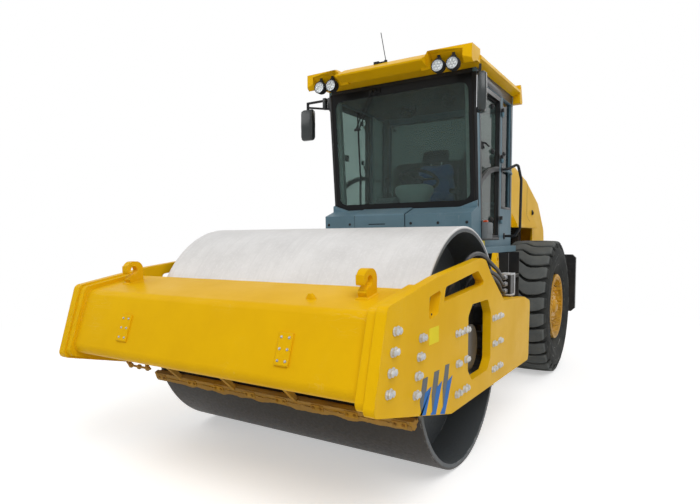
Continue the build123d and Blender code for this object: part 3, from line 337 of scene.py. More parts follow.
def makeCamera():
    yaw, pitch, roll = (math.radians(shot[k]) for k in ("yaw", "pitch", "roll"))
    ahead = Vector((math.cos(pitch) * math.cos(yaw), math.cos(pitch) * math.sin(yaw), math.sin(pitch)))
    right = ahead.cross(Vector((0, 0, 1))).normalized()
    up = right.cross(ahead)
    sideways = math.cos(roll) * right + math.sin(roll) * up
    upright = -math.sin(roll) * right + math.cos(roll) * up
    lens = bpy.data.cameras.new("cameraMain")
    lens.lens, lens.sensor_width = shot["lens"], shot["sensor"]
    lens.shift_x, lens.shift_y = shot["shiftX"], shot["shiftY"]
    camera = bpy.data.objects.new("cameraMain", lens)
    bpy.context.scene.collection.objects.link(camera)
    turned = Matrix((sideways, upright, -ahead)).transposed().to_4x4()
    camera.matrix_world = Matrix.Translation(shot["place"]) @ turned
    bpy.context.scene.camera = camera


makeCamera()


# ---- hydraulic hoses of the drum ----
hoses = {
    "radius": 0.015,
    # routes from the drum carrier's port to the manifold: along from the drum's axle, off to the side, up
    "upper": [(0.215, 1.014, 1.04), (0.215, 1.014, 1.115), (0.205, 1.04, 1.205), (0.165, 1.074, 1.29),
        (0.085, 1.092, 1.36), (-0.02, 1.092, 1.4), (-0.13, 1.092, 1.415), (-0.25, 1.092, 1.412),
        (-0.37, 1.092, 1.385), (-0.48, 1.092, 1.344), (-0.59, 1.092, 1.308), (-0.71, 1.089, 1.274),
        (-0.83, 1.072, 1.234), (-0.945, 1.058, 1.2), (-1.06, 1.058, 1.2)],
    "middle": [(-0.13, 1.014, 1.04), (-0.13, 1.014, 1.104), (-0.15, 1.022, 1.18), (-0.196, 1.042, 1.24),
        (-0.262, 1.066, 1.276), (-0.342, 1.084, 1.29), (-0.43, 1.092, 1.288), (-0.53, 1.092, 1.27),
        (-0.64, 1.092, 1.244), (-0.755, 1.086, 1.21), (-0.865, 1.07, 1.172), (-0.965, 1.058, 1.143),
        (-1.06, 1.058, 1.143)],
    "lower": [(-0.3, 1.014, 1.04), (-0.3, 1.014, 1.094), (-0.316, 1.021, 1.158), (-0.354, 1.038, 1.208),
        (-0.412, 1.06, 1.236), (-0.482, 1.08, 1.242), (-0.566, 1.092, 1.226), (-0.655, 1.092, 1.196),
        (-0.745, 1.088, 1.16), (-0.835, 1.074, 1.122), (-0.925, 1.06, 1.094), (-0.99, 1.058, 1.088),
        (-1.06, 1.058, 1.088)],
    # lengths along the routes
    "length": {"upper": 1.56, "middle": 1.12, "lower": 0.93},
}


def hosePlaces(which, side):
    return [(drumX + x, side * y, z) for x, y, z in hoses[which]]


def makeHoses():
    # three from the drum carrier's ports to the manifold on the cross beam, each side
    made = []
    for side, word in ((1, "left"), (-1, "right")):
        for which in ("upper", "middle", "lower"):
            places = hosePlaces(which, side)
            hose = addCurve(f"drumHose{word.title()}{which.title()}", places, hoses["radius"])
            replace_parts(hose, f"drum_hose_{word}_{which}")
            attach(hose, "front_frame")
            made.append(hose)
    return made


hosePieces = makeHoses()
print("stage: camera and hoses made")


# ---- materials: small tools ----
def newMaterial(name):
    material = bpy.data.materials.new(name)
    material.use_nodes = True
    tree = material.node_tree
    return material, tree, tree.nodes["Principled BSDF"]


def setInputs(tree, made, inputs):
    # what comes from another node is linked, and the rest is set
    for key, value in inputs.items():
        if isinstance(value, bpy.types.NodeSocket):
            tree.links.new(value, made.inputs[key])
        else:
            made.inputs[key].default_value = value


def addNode(tree, kind, inputs=None, **settings):
    made = tree.nodes.new(kind)
    for key, value in settings.items():
        setattr(made, key, value)
    setInputs(tree, made, inputs or {})
    return made


def mixColour(tree, mask, below, above):
    below, above = (c if isinstance(c, bpy.types.NodeSocket) else (*c, 1.0) for c in (below, above))
    return addNode(tree, "ShaderNodeMix", {0: mask, 6: below, 7: above}, data_type="RGBA").outputs[2]


def mathNode(tree, operation, a, b=0.0, clamp=False):
    return addNode(tree, "ShaderNodeMath", {0: a, 1: b}, operation=operation, use_clamp=clamp).outputs[0]


def remap(tree, value, fromLow, fromHigh, toLow=0.0, toHigh=1.0):
    return addNode(tree, "ShaderNodeMapRange", {0: value, 1: fromLow, 2: fromHigh, 3: toLow,
        4: toHigh}).outputs[0]


def objectPlace(tree, scale=(1, 1, 1)):
    place = tree.nodes.new("ShaderNodeTexCoord").outputs["Object"]
    return addNode(tree, "ShaderNodeMapping", {"Vector": place, "Scale": scale}).outputs[0]


def noise(tree, scale, detail=3.0, rough=0.55, stretch=(1, 1, 1)):
    return addNode(tree, "ShaderNodeTexNoise", {"Vector": objectPlace(tree, stretch), "Scale": scale,
        "Detail": detail, "Roughness": rough}).outputs[0]


def axleDistance(tree, place, x, z):
    # how far a place is from a line that runs across the machine at x and z
    for operation, value in (("SUBTRACT", (x, 0, z)), ("MULTIPLY", (1, 0, 1))):
        place = addNode(tree, "ShaderNodeVectorMath", {0: place, 1: value}, operation=operation).outputs[0]
    return addNode(tree, "ShaderNodeVectorMath", {0: place}, operation="LENGTH").outputs["Value"]


def linkSurface(tree, shader, colour, rough, strength, depth, height, **others):
    # a material's colour, roughness and bump
    bump = addNode(tree, "ShaderNodeBump", {"Strength": strength, "Distance": depth, "Height": height,
        **others}).outputs[0]
    setInputs(tree, shader, {"Base Color": colour, "Roughness": rough, "Normal": bump})


def newGroup(name, inputs, outputs):
    tree = bpy.data.node_groups.new(name, "ShaderNodeTree")
    for label, kind, value in inputs:
        tree.interface.new_socket(label, in_out="INPUT",
            socket_type="NodeSocket" + kind).default_value = value
    for label, kind in outputs:
        tree.interface.new_socket(label, in_out="OUTPUT", socket_type="NodeSocket" + kind)
    return tree, tree.nodes.new("NodeGroupInput").outputs, tree.nodes.new("NodeGroupOutput").inputs


def useGroup(tree, name, **values):
    made = tree.nodes.new("ShaderNodeGroup")
    made.node_tree = bpy.data.node_groups[name]
    for label, value in values.items():
        made.inputs[label].default_value = value
    return made.outputs


# ---- effects that several materials share ----
def makeEdgeWear():
    # mask where an edge sticks out, broken into patches, and the softened normal
    tree, given, out = newGroup("edgeWear", [("Radius", "Float", 0.006), ("Patches", "Float", 14.0),
        ("Amount", "Float", 0.5)], [("Mask", "Float"), ("Normal", "Vector")])
    softened = addNode(tree, "ShaderNodeBevel", {"Radius": given["Radius"]}, samples=4).outputs[0]
    flat = tree.nodes.new("ShaderNodeNewGeometry").outputs["Normal"]
    along = addNode(tree, "ShaderNodeVectorMath", {0: softened, 1: flat}, operation="DOT_PRODUCT")
    edge = remap(tree, along.outputs["Value"], 0.995, 0.86)
    patch = addNode(tree, "ShaderNodeTexNoise", {"Vector": objectPlace(tree), "Scale": given["Patches"],
        "Detail": 5.0, "Roughness": 0.7}).outputs[0]
    wearAndPaintedLight = mathNode(tree, "MULTIPLY", edge, remap(tree, patch, 0.48, 0.62))
    tree.links.new(mathNode(tree, "MULTIPLY", wearAndPaintedLight, given["Amount"], True), out["Mask"])
    tree.links.new(softened, out["Normal"])


def makeDust():
    # settled dirt: more near the ground, on what faces up, and in slow patches
    tree, given, out = newGroup("settledDust", [("Height", "Float", 1.2), ("Scale", "Float", 3.0),
        ("Amount", "Float", 0.5)], [("Mask", "Float")])
    place = tree.nodes.new("ShaderNodeTexCoord").outputs["Object"]
    upDown = addNode(tree, "ShaderNodeSeparateXYZ", {0: place}).outputs[2]
    low = mathNode(tree, "SUBTRACT", 1.0, mathNode(tree, "DIVIDE", upDown, given["Height"]), True)
    facing = addNode(tree, "ShaderNodeSeparateXYZ",
        {0: tree.nodes.new("ShaderNodeNewGeometry").outputs["Normal"]}).outputs[2]
    lying = mathNode(tree, "MULTIPLY", remap(tree, facing, 0.5, 1.0), 0.45)
    patch = addNode(tree, "ShaderNodeTexNoise", {"Vector": place, "Scale": given["Scale"], "Detail": 6.0,
        "Roughness": 0.65}).outputs[0]
    total = mathNode(tree, "MULTIPLY", mathNode(tree, "ADD", low, lying), remap(tree, patch, 0.35, 0.7))
    tree.links.new(mathNode(tree, "MULTIPLY", total, given["Amount"], True), out["Mask"])


def makeFineGrain():
    # height and tone of a fine surface: orange peel, cast skin or moulded grain
    tree, given, out = newGroup("fineGrain", [("Scale", "Float", 180.0), ("Detail", "Float", 3.0)],
        [("Height", "Float"), ("Tone", "Float")])
    fine = addNode(tree, "ShaderNodeTexNoise", {"Vector": objectPlace(tree), "Scale": given["Scale"],
        "Detail": given["Detail"], "Roughness": 0.6}).outputs[0]
    slow = addNode(tree, "ShaderNodeTexNoise", {"Vector": objectPlace(tree), "Scale": 2.3, "Detail": 4.0,
        "Roughness": 0.6}).outputs[0]
    tree.links.new(fine, out["Height"])
    tree.links.new(slow, out["Tone"])


def makeScuffs():
    # thin scratches that run two ways
    tree, given, out = newGroup("scuffs", [("Scale", "Float", 9.0), ("Amount", "Float", 0.4)],
        [("Mask", "Float")])
    masks = []
    for stretch in ((1.0, 0.12, 9.0), (7.0, 0.9, 0.15)):
        lines = addNode(tree, "ShaderNodeTexNoise",
            {"Vector": objectPlace(tree, stretch), "Scale": given["Scale"], "Detail": 2.0, "Roughness": 0.5,
            "Distortion": 0.4}).outputs[0]
        masks.append(remap(tree, mathNode(tree, "ABSOLUTE", mathNode(tree, "SUBTRACT", lines, 0.5)), 0.012,
            0.0))
    sparse = remap(tree, addNode(tree, "ShaderNodeTexNoise",
        {"Vector": objectPlace(tree), "Scale": 2.6, "Detail": 3.0}).outputs[0], 0.52, 0.66)
    both = mathNode(tree, "MULTIPLY", mathNode(tree, "MAXIMUM", masks[0], masks[1]), sparse)
    tree.links.new(mathNode(tree, "MULTIPLY", both, given["Amount"], True), out["Mask"])


makeEdgeWear()
makeDust()
makeFineGrain()
makeScuffs()

dustTone = (0.3, 0.225, 0.13)
finishKeys = ("base", "tone", "rough", "metal", "coat", "edge", "wear", "dust", "dustHeight", "grain",
    "depth", "ior")
finishes = {
    # colour, second tone, roughness, metal, coat, edge colour, worn edges, dust, height of the dust,
    # scale and depth of the grain, refractive index
    "yellowPaint": ((0.82, 0.475, 0.004), (0.76, 0.425, 0.004), 0.34, 0.0, 0.0, (0.86, 0.62, 0.16),
        0.35, 0.04, 0.9, 230.0, 0.0004, 1.1),
    "yellowRim": ((0.66, 0.34, 0.01), (0.54, 0.26, 0.008), 0.45, 0.0, 0.15, (0.75, 0.5, 0.12),
        0.4, 0.55, 1.6, 200.0, 0.0005, 1.22),
    "wornYellow": ((0.6, 0.32, 0.02), (0.36, 0.17, 0.018), 0.62, 0.0, 0.0, (0.2, 0.085, 0.03),
        1.0, 0.75, 1.4, 90.0, 0.001, 1.22),
    "driedSoil": ((0.42, 0.235, 0.05), (0.56, 0.33, 0.08), 0.85, 0.0, 0.0, (0.33, 0.2, 0.1),
        0.6, 0.5, 1.4, 60.0, 0.0025, 1.22),
    "greyPaint": ((0.118, 0.205, 0.258), (0.098, 0.175, 0.22), 0.42, 0.0, 0.0, (0.26, 0.31, 0.34),
        0.35, 0.15, 2.4, 260.0, 0.0004, 1.22),
    "blackPaint": ((0.016, 0.017, 0.019), (0.026, 0.027, 0.028), 0.42, 0.0, 0.2, (0.15, 0.15, 0.15),
        0.35, 0.3, 1.4, 240.0, 0.0004, 1.22),
    "engineGrey": ((0.14, 0.15, 0.16), (0.09, 0.095, 0.1), 0.6, 0.2, 0.0, (0.3, 0.3, 0.3),
        0.5, 0.5, 2.2, 120.0, 0.001, 1.22),
    "zincSteel": ((0.6, 0.61, 0.62), (0.46, 0.47, 0.49), 0.42, 0.45, 0.0, (0.9, 0.9, 0.9),
        0.5, 0.15, 1.2, 300.0, 0.0003, 1.22),
    "blackPlastic": ((0.02, 0.021, 0.023), (0.03, 0.031, 0.033), 0.55, 0.0, 0.0, (0.07, 0.07, 0.07),
        0.4, 0.25, 2.0, 520.0, 0.0006, 1.22),
    "greyPlastic": ((0.2, 0.22, 0.23), (0.16, 0.175, 0.185), 0.55, 0.0, 0.0, (0.32, 0.33, 0.34),
        0.3, 0.1, 2.2, 520.0, 0.0006, 1.22),
    "softRubber": ((0.014, 0.014, 0.014), (0.024, 0.023, 0.022), 0.72, 0.0, 0.0, (0.06, 0.058, 0.055),
        0.4, 0.35, 2.0, 420.0, 0.0005, 1.22),
}


def makeFinish(name):
    look = dict(zip(finishKeys, finishes[name]))
    material, tree, shader = newMaterial(name)
    wear = useGroup(tree, "edgeWear", Radius=0.005, Patches=16.0, Amount=look["wear"])
    grain = useGroup(tree, "fineGrain", Scale=look["grain"], Detail=3.0)
    dust = useGroup(tree, "settledDust", Height=look["dustHeight"], Scale=3.2, Amount=look["dust"])
    scuffs = useGroup(tree, "scuffs", Scale=9.0, Amount=0.35)
    colour = mixColour(tree, remap(tree, grain["Tone"], 0.35, 0.68), look["base"], look["tone"])
    colour = mixColour(tree, scuffs["Mask"], colour, look["edge"])
    colour = mixColour(tree, wear["Mask"], colour, look["edge"])
    colour = mixColour(tree, dust["Mask"], colour, dustTone)
    rough = mathNode(tree, "ADD", remap(tree, grain["Tone"], 0.3, 0.7, look["rough"] - 0.05,
        look["rough"] + 0.07), mathNode(tree, "MULTIPLY", dust["Mask"], 0.45), True)
    linkSurface(tree, shader, colour, rough, 0.5, look["depth"], grain["Height"], Normal=wear["Normal"])
    setInputs(tree, shader, {"Metallic": look["metal"], "Coat Weight": look["coat"], "Coat Roughness": 0.12,
        "IOR": look["ior"]})
    return material


def makePlain(name, colour, rough, metal=0.0, grain=300.0, depth=0.0003, spread=0.12, ior=1.4):
    # small parts: one colour with a slow tone change and a fine grain
    material, tree, shader = newMaterial(name)
    surface = useGroup(tree, "fineGrain", Scale=grain, Detail=2.0)
    darker = tuple(c * (1 - spread) for c in colour)
    mixed = mixColour(tree, remap(tree, surface["Tone"], 0.35, 0.65), colour, darker)
    linkSurface(tree, shader, mixed, remap(tree, surface["Height"], 0.3, 0.7, rough - 0.05, rough + 0.08),
        0.4, depth, surface["Height"])
    # very dark materials reflect less, so they stay dark
    setInputs(tree, shader, {"Metallic": metal, "IOR": min(ior, 1.24) if max(colour) < 0.05 else ior})
    return material


# the low dark tone, with the heights where it starts and where it is full, is painted shade and a painted
# reflection of dark ground
drumTones = {"bare": (0.76, 0.75, 0.74), "mottle": (0.66, 0.65, 0.64), "fleck": (0.84, 0.83, 0.83),
    "hoop": (0.56, 0.55, 0.54), "paintedShade": (0.042, 0.038, 0.034), "inside": (0.085, 0.095, 0.102),
    "edge": (0.62, 0.61, 0.6), "paintedShadeTop": 1.05, "paintedShadeFull": 0.55}


def makeDrumSteel():
    # rolled bare steel: pale and mottled on top, with painted shade and a painted reflection of dark ground
    # darkening it below, and faint hoop marks
    material, tree, shader = newMaterial("drumSteel")
    tones = drumTones
    blotch = noise(tree, 3.4, 7.0, 0.66)
    speck = noise(tree, 46.0, 5.0, 0.7)
    hoops = noise(tree, 5.0, 3.0, 0.6, (0.35, 9.0, 0.35))
    colour = mixColour(tree, remap(tree, blotch, 0.34, 0.66), tones["bare"], tones["mottle"])
    colour = mixColour(tree, remap(tree, speck, 0.5, 0.72, 0.0, 0.5), colour, tones["fleck"])
    colour = mixColour(tree, remap(tree, hoops, 0.5, 0.75, 0.0, 0.3), colour, tones["hoop"])
    place = tree.nodes.new("ShaderNodeTexCoord").outputs["Object"]
    height = addNode(tree, "ShaderNodeSeparateXYZ", {0: place}).outputs[2]
    # painted shade and a painted reflection of dark ground, stronger towards the bottom, with a ragged edge
    ragged = mathNode(tree, "ADD", height, mathNode(tree, "MULTIPLY",
        mathNode(tree, "SUBTRACT", blotch, 0.5), 0.5))
    lower = remap(tree, ragged, tones["paintedShadeTop"], tones["paintedShadeFull"])
    colour = mixColour(tree, lower, colour, tones["paintedShade"])
    # the inside tone on the inner faces near the drum's ends is painted shade in the recess
    off = mathNode(tree, "ABSOLUTE", addNode(tree, "ShaderNodeSeparateXYZ", {0: place}).outputs[1])
    inside = axleDistance(tree, place, drumX, drumR)
    within = mathNode(tree, "MULTIPLY", remap(tree, inside, drumR - 0.01, drumR - 0.018),
        remap(tree, off, 0.2, 0.3))
    colour = mixColour(tree, within, colour, tones["inside"])
    wear = useGroup(tree, "edgeWear", Radius=0.008, Patches=9.0, Amount=0.6)
    colour = mixColour(tree, wear["Mask"], colour, tones["edge"])
    linkSurface(tree, shader, colour, remap(tree, speck, 0.3, 0.7, 0.38, 0.6), 0.5, 0.0008, speck,
        Normal=wear["Normal"])
    setInputs(tree, shader, {"Metallic": 0.12, "IOR": 1.3})
    return material


# the pale top tone is painted light on the bar tops; the dark wall tone is the rubber's own black on the
# sidewalls and painted shade in the grooves
tyreTones = {"wall": ((0.022, 0.024, 0.024), (0.036, 0.038, 0.037)),
    "top": ((0.102, 0.11, 0.109), (0.146, 0.154, 0.149)), "dust": (0.15, 0.146, 0.128),
    "edge": (0.26, 0.265, 0.25), "ior": 1.16}


def makeTyreRubber():
    material, tree, shader = newMaterial("tyreRubber")
    patch = noise(tree, 5.0, 6.0, 0.65)
    fine = noise(tree, 260.0, 3.0, 0.6)
    dust = useGroup(tree, "settledDust", Height=2.6, Scale=6.0, Amount=0.3)
    wear = useGroup(tree, "edgeWear", Radius=0.012, Patches=11.0, Amount=0.85)
    # bar tops are painted paler than the grooves and sidewalls: painted light on the bar tops against
    # painted shade in the grooves
    place = tree.nodes.new("ShaderNodeTexCoord").outputs["Object"]
    top = remap(tree, axleDistance(tree, place, axleX, tyreR), 0.706, 0.728)
    colour, wearAndPaintedLight = (mixColour(tree, remap(tree, patch, 0.35, 0.65), *tyreTones[k]) for k in ("wall", "top"))
    colour = mixColour(tree, top, colour, wearAndPaintedLight)
    colour = mixColour(tree, dust["Mask"], colour, tyreTones["dust"])
    colour = mixColour(tree, wear["Mask"], colour, tyreTones["edge"])
    linkSurface(tree, shader, colour, remap(tree, patch, 0.3, 0.7, 0.66, 0.86), 0.6, 0.0012, fine,
        Normal=wear["Normal"])
    setInputs(tree, shader, {"IOR": tyreTones["ior"]})
    return material


def makeGlass(name, tint, rough=0.02):
    # tinted safety glass: a little dust in its colour and roughness, seen through
    material, tree, shader = newMaterial(name)
    film = noise(tree, 2.2, 5.0, 0.6)
    darker = tuple(c * 0.9 for c in tint)
    colour = mixColour(tree, remap(tree, film, 0.35, 0.65), tint, darker)
    linkSurface(tree, shader, colour, remap(tree, film, 0.3, 0.7, rough, rough + 0.03), 0.15, 0.002,
        noise(tree, 1.1, 2.0, 0.5))
    setInputs(tree, shader, {"Metallic": 0.0, "Transmission Weight": 0.94, "IOR": 1.17})
    return material


def makeHoseRubber():
    # braided rubber cover: fine slanting ribs and a dusty bloom
    material, tree, shader = newMaterial("hoseRubber")
    braid = addNode(tree, "ShaderNodeTexWave", {"Vector": objectPlace(tree), "Scale": 75.0,
        "Distortion": 1.2, "Detail": 1.0}, wave_type="BANDS", bands_direction="DIAGONAL").outputs[1]
    patch = noise(tree, 7.0, 4.0, 0.6)
    colour = mixColour(tree, remap(tree, patch, 0.4, 0.66), (0.02, 0.02, 0.021), (0.055, 0.052, 0.048))
    linkSurface(tree, shader, colour, remap(tree, patch, 0.3, 0.7, 0.5, 0.68), 0.5, 0.0006, braid)
    return material


def makeSeatCloth():
    # woven cloth: two crossing sets of threads, with a slow fade
    material, tree, shader = newMaterial("seatCloth")
    threads = []
    for way in ("X", "Y"):
        threads.append(addNode(tree, "ShaderNodeTexWave",
            {"Vector": objectPlace(tree, (1, 1, 1.01)), "Scale": 105.0, "Distortion": 0.6, "Detail": 1.0},
            wave_type="BANDS", bands_direction=way).outputs[1])
    weave = mathNode(tree, "MULTIPLY", threads[0], threads[1])
    fade = noise(tree, 4.0, 4.0, 0.6)
    colour = mixColour(tree, weave, (0.02, 0.085, 0.3), (0.04, 0.16, 0.5))
    colour = mixColour(tree, remap(tree, fade, 0.45, 0.7, 0.0, 0.5), colour, (0.06, 0.17, 0.42))
    linkSurface(tree, shader, colour, remap(tree, weave, 0.0, 1.0, 0.92, 0.78), 0.6, 0.0008, weave)
    setInputs(tree, shader, {"Sheen Weight": 0.4, "Sheen Roughness": 0.4})
    return material


(yellow, rimYellow, wornYellow, driedSoil, greyPaint, blackPaint, engineGrey, zinc, blackPlastic,
    greyPlastic, rubber) = (makeFinish(name) for name in finishes)
drumSteel = makeDrumSteel()
tyreRubber = makeTyreRubber()
cabGlass = makeGlass("cabGlass", (0.4, 0.49, 0.465))
darkGlass = makeGlass("darkGlass", (0.06, 0.09, 0.082))
hoseRubber = makeHoseRubber()
seatCloth = makeSeatCloth()
chrome = makePlain("chromeRod", (0.8, 0.81, 0.82), 0.14, metal=1.0, spread=0.05)
mirrorGlass = makePlain("mirrorGlass", (0.86, 0.88, 0.9), 0.06, metal=1.0, spread=0.03, depth=0.00005)
lampLens = makeGlass("lampLens", (0.92, 0.94, 0.95), 0.04)
lampReflector = makePlain("lampReflector", (0.56, 0.57, 0.58), 0.3, metal=0.7, spread=0.08)
ledWhite = makePlain("ledWhite", (0.92, 0.93, 0.9), 0.25, spread=0.03)
orangeRed = makePlain("orangeRed", (0.62, 0.075, 0.015), 0.35, spread=0.15)
glossBlack = makePlain("glossBlack", (0.04, 0.048, 0.05), 0.24, spread=0.3, depth=0.0001)
amber = makePlain("amberReflector", (0.8, 0.3, 0.02), 0.25, spread=0.2)
redLens = makePlain("redLens", (0.55, 0.02, 0.015), 0.22, spread=0.2)
paleYellow = makePlain("paleYellow", (0.86, 0.7, 0.008), 0.35, spread=0.08, ior=1.12)
# black of the glass frit and the seams, also painted shade behind the hood's rear bars and in the cowl's
# slot
fritBlack = makePlain("fritBlack", (0.01, 0.011, 0.012), 0.22, spread=0.3)
stripeBlue = makePlain("stripeBlue", (0.01, 0.15, 0.5), 0.34, spread=0.1, grain=230.0, depth=0.0004,
    ior=1.12)
stripeGrey = makePlain("stripeGrey", (0.125, 0.14, 0.15), 0.34, spread=0.1, grain=230.0, depth=0.0004,
    ior=1.12)
pillarPale = makePlain("pillarTrim", (0.36, 0.44, 0.42), 0.6, spread=0.12, grain=500.0)
dialFace = makePlain("dialFace", (0.03, 0.04, 0.045), 0.2, spread=0.2)
seatDark = makePlain("seatDark", (0.022, 0.024, 0.03), 0.8, grain=480.0, depth=0.0007, spread=0.25)
dashGrey = makePlain("dashGrey", (0.33, 0.4, 0.385), 0.55, grain=520.0, depth=0.0005, spread=0.1)
liningDark = makePlain("liningDark", (0.055, 0.062, 0.062), 0.88, grain=600.0, depth=0.0006, spread=0.2)

cadFinish = {
    yellow: ("front_beam", "side_plate_left", "side_plate_right", "rear_cross_beam", "lifting_hooks",
        "cab_roof", "hood", "rear_frame", "centre_link", "counterweight", "rear_axle"),
    rimYellow: ("rim_left", "rim_right"),
    wornYellow: ("front_scraper", "rear_scraper"),
    zinc: ("frame_bolts",),
    blackPaint: ("door_left", "door_right", "drum_mounts", "mud_plates", "hose_clamps", "steps",
        "steer_barrel_left", "steer_barrel_right", "handrails", "hydraulic_tank", "fuel_tank",
        "seat_base"),
    greyPaint: ("cab_platform", "front_cowl", "cab_frame"),
    engineGrey: ("engine", "radiator"),
    drumSteel: ("drum",),
    tyreRubber: ("tyre_left", "tyre_right"),
    chrome: ("steer_rod_left", "steer_rod_right"),
    cabGlass: ("windshield", "door_glass_left", "door_glass_right"),
    darkGlass: ("rear_window", "side_window_left", "side_window_right"),
    blackPlastic: ("antenna", "mirrors", "roof_lamps", "steering_wheel"),
    greyPlastic: ("dash_console", "side_console"),
    seatCloth: ("seat_cushion", "seat_back"),
}
for material, names in cadFinish.items():
    for name in names:
        nodes[name].data.materials.clear()
        nodes[name].data.materials.append(material)
for hose in hosePieces:
    hose.data.materials.append(hoseRubber)
print("stage: materials made")


# ---- smooth faces and crisp edges on the carried-over nodes ----
def dressNode(node, angle=32):
    # loose triangles are joined, shaded smooth, and split again where they turn sharply
    for face in node.data.polygons:
        face.use_smooth = True
    weld = node.modifiers.new("weld", "WELD")
    weld.merge_threshold = 0.00005
    split = node.modifiers.new("split", "EDGE_SPLIT")
    split.split_angle = math.radians(angle)
    split.use_edge_sharp = False


for node in nodes.values():
    dressNode(node)


def surface(name, start, way):
    # where a line from start first meets a carried-over node, and how that face is turned
    found, place, normal, _ = nodes[name].ray_cast(Vector(start), Vector(way))
    if not found:
        raise ValueError(f"nothing of {name} from {start} along {way}")
    return place, normal


def layOn(piece, place, normal, up=(0, 0, 1)):
    # a piece drawn flat at the origin, facing +z with its top towards +y, is laid on a surface
    normal = Vector(normal).normalized()
    across = Vector(up).cross(normal).normalized()
    top = normal.cross(across)
    turned = Matrix((across, top, normal)).transposed().to_4x4()
    piece.data.transform(Matrix.Translation(place) @ turned)
    return piece


def boltCentres(name):
    # middles of a node's separate heads, found by gathering its points in the side view
    places = []
    for point in nodes[name].data.vertices:
        x, y, z = point.co
        for spot in places:
            if abs(spot[0] - x) < 0.045 and abs(spot[2] - z) < 0.045 and (spot[1] > 0) == (y > 0):
                spot[3].append((x, y, z))
                break
        else:
            places.append([x, y, z, [(x, y, z)]])
    middles = []
    for spot in places:
        xs, ys, zs = zip(*spot[3])
        middles.append(((min(xs) + max(xs)) / 2, min(ys, key=abs), (min(zs) + max(zs)) / 2))
    return middles


# ---- bolts ----
boltLook = {"washerR": 0.0225, "washerT": 0.004, "headR": 0.018, "headT": 0.014, "threadR": 0.01,
    "threadOut": 0.004}
smallBolt = {"washerR": 0.0125, "washerT": 0.0022, "headR": 0.0098, "headT": 0.0075, "threadR": 0.005,
    "threadOut": 0.002}


def makeBolt(look):
    # hexagon head with a turned face, on a washer, its thread end standing out; drawn along +z at the origin
    washer = addRod((0, 0, 0), (0, 0, look["washerT"]), look["washerR"], 20)
    insetFaces(washer, lambda c, n: n.z > 0.9, look["washerT"] * 0.25, look["washerT"] * 0.15)
    top = look["washerT"] + look["headT"]
    head = addRod((0, 0, look["washerT"]), (0, 0, top), look["headR"], 6)
    insetFaces(head, lambda c, n: n.z > 0.9, look["headR"] * 0.14, look["headT"] * 0.13)
    thread = addRod((0, 0, top), (0, 0, top + look["threadOut"]), look["threadR"], 12)
    insetFaces(thread, lambda c, n: n.z > 0.9, look["threadR"] * 0.2, look["threadOut"] * 0.3)
    return joinPieces("bolt", [washer, head, thread])


def bolts(name, places, look, body, material):
    # places are rows of point and outward direction
    first = makeBolt(look)
    made = []
    for place, out in places:
        turn = Matrix.Rotation(random.uniform(0, math.tau), 4, "Z")
        towards = Vector(out).to_track_quat("Z", "Y").to_matrix().to_4x4()
        made.append(copyPiece(first, place, towards @ turn))
    bpy.data.objects.remove(first)
    return single(name, made, body, material, 28)


def dressFrameBolts():
    places = [((x, y, z), (0, math.copysign(1, y), 0)) for x, y, z in boltCentres("frame_bolts")]
    made = bolts("frameBolts", places, boltLook, "front_frame", zinc)
    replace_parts(made, "frame_bolts")


dressFrameBolts()
print("stage: frame bolts made")


# ---- drum side plates: painted slashes, tag and plug ----
slashes = {
    "thick": 0.0012, "blueLift": 0.0004, "edgeGap": 0.003,
    # corners of the grey slashes and of the blue ones below them, measured from the drum's axle
    "grey": [[(0.985, 0.802), (0.916, 0.8), (0.958, 0.655), (1.0, 0.592), (1.022, 0.69)],
             [(0.825, 0.806), (0.751, 0.804), (0.8, 0.642), (0.85, 0.585), (0.862, 0.69)],
             [(0.658, 0.812), (0.593, 0.808), (0.64, 0.632), (0.69, 0.565), (0.698, 0.69)]],
    "blue": [[(0.955, 0.722), (0.867, 0.737), (0.944, 0.48), (1.02, 0.48), (0.997, 0.6)],
             [(0.79, 0.715), (0.708, 0.732), (0.8, 0.48), (0.878, 0.48), (0.845, 0.6)],
             [(0.625, 0.712), (0.542, 0.73), (0.66, 0.48), (0.735, 0.48), (0.683, 0.59)]],
}


def plateUnder(x):
    # lower edge of the side plate at a place along it
    return surface("side_plate_left", (x, (plateLow.y + plateHigh.y) / 2, 0.0), (0, 0, 1))[0].z


def makeSlashes():
    # thin painted marks on both plates' outer faces, ending at the plates' lower edge
    for tone, material in (("Grey", stripeGrey), ("Blue", stripeBlue)):
        marks = []
        for corners in slashes[tone.lower()]:
            lift = 0.0 if tone == "Grey" else slashes["blueLift"]
            outline = [(drumX + x, plateHigh.y + lift, max(z, plateUnder(drumX + x) + slashes["edgeGap"]))
                for x, z in corners]
            marks.append(addPlate(outline, (0, slashes["thick"], 0)))
        sidePair("slash" + tone, marks, framePair, material, 0)


makeSlashes()

plateTag = {"x": (0.905, 0.765), "z": (0.962, 1.05), "t": 0.0012, "hole": (0.872, 1.122), "holeR": 0.007,
    "inset": 0.007, "rivetR": 0.003, "rivetOut": 0.0024}


def makePlateTag():
    # bare tag plate with four rivets, and a plugged hole above it
    x0, x1 = (drumX + x for x in plateTag["x"])
    z0, z1 = plateTag["z"]
    y = plateHigh.y
    sheet = addBlock((x1, y, z0), (x0, y + plateTag["t"], z1), 0.0005)
    rivets = [addRod((x, y, z), (x, y + plateTag["rivetOut"], z), plateTag["rivetR"], 10, 0.0006)
        for x in (x0 - plateTag["inset"], x1 + plateTag["inset"]) for z in (z0 + plateTag["inset"],
        z1 - plateTag["inset"])]
    sidePair("plateTag", [sheet, *rivets], framePair, paleYellow, 0)
    x, z = plateTag["hole"]
    plug = addRod((drumX + x, y, z), (drumX + x, y + 0.0015, z), plateTag["holeR"], 16, 0.0005)
    insetFaces(plug, lambda c, n: n.y > 0.9, 0.0025, -0.001)
    bothSides(plug, "platePlug", framePair, rubber, 0)


makePlateTag()


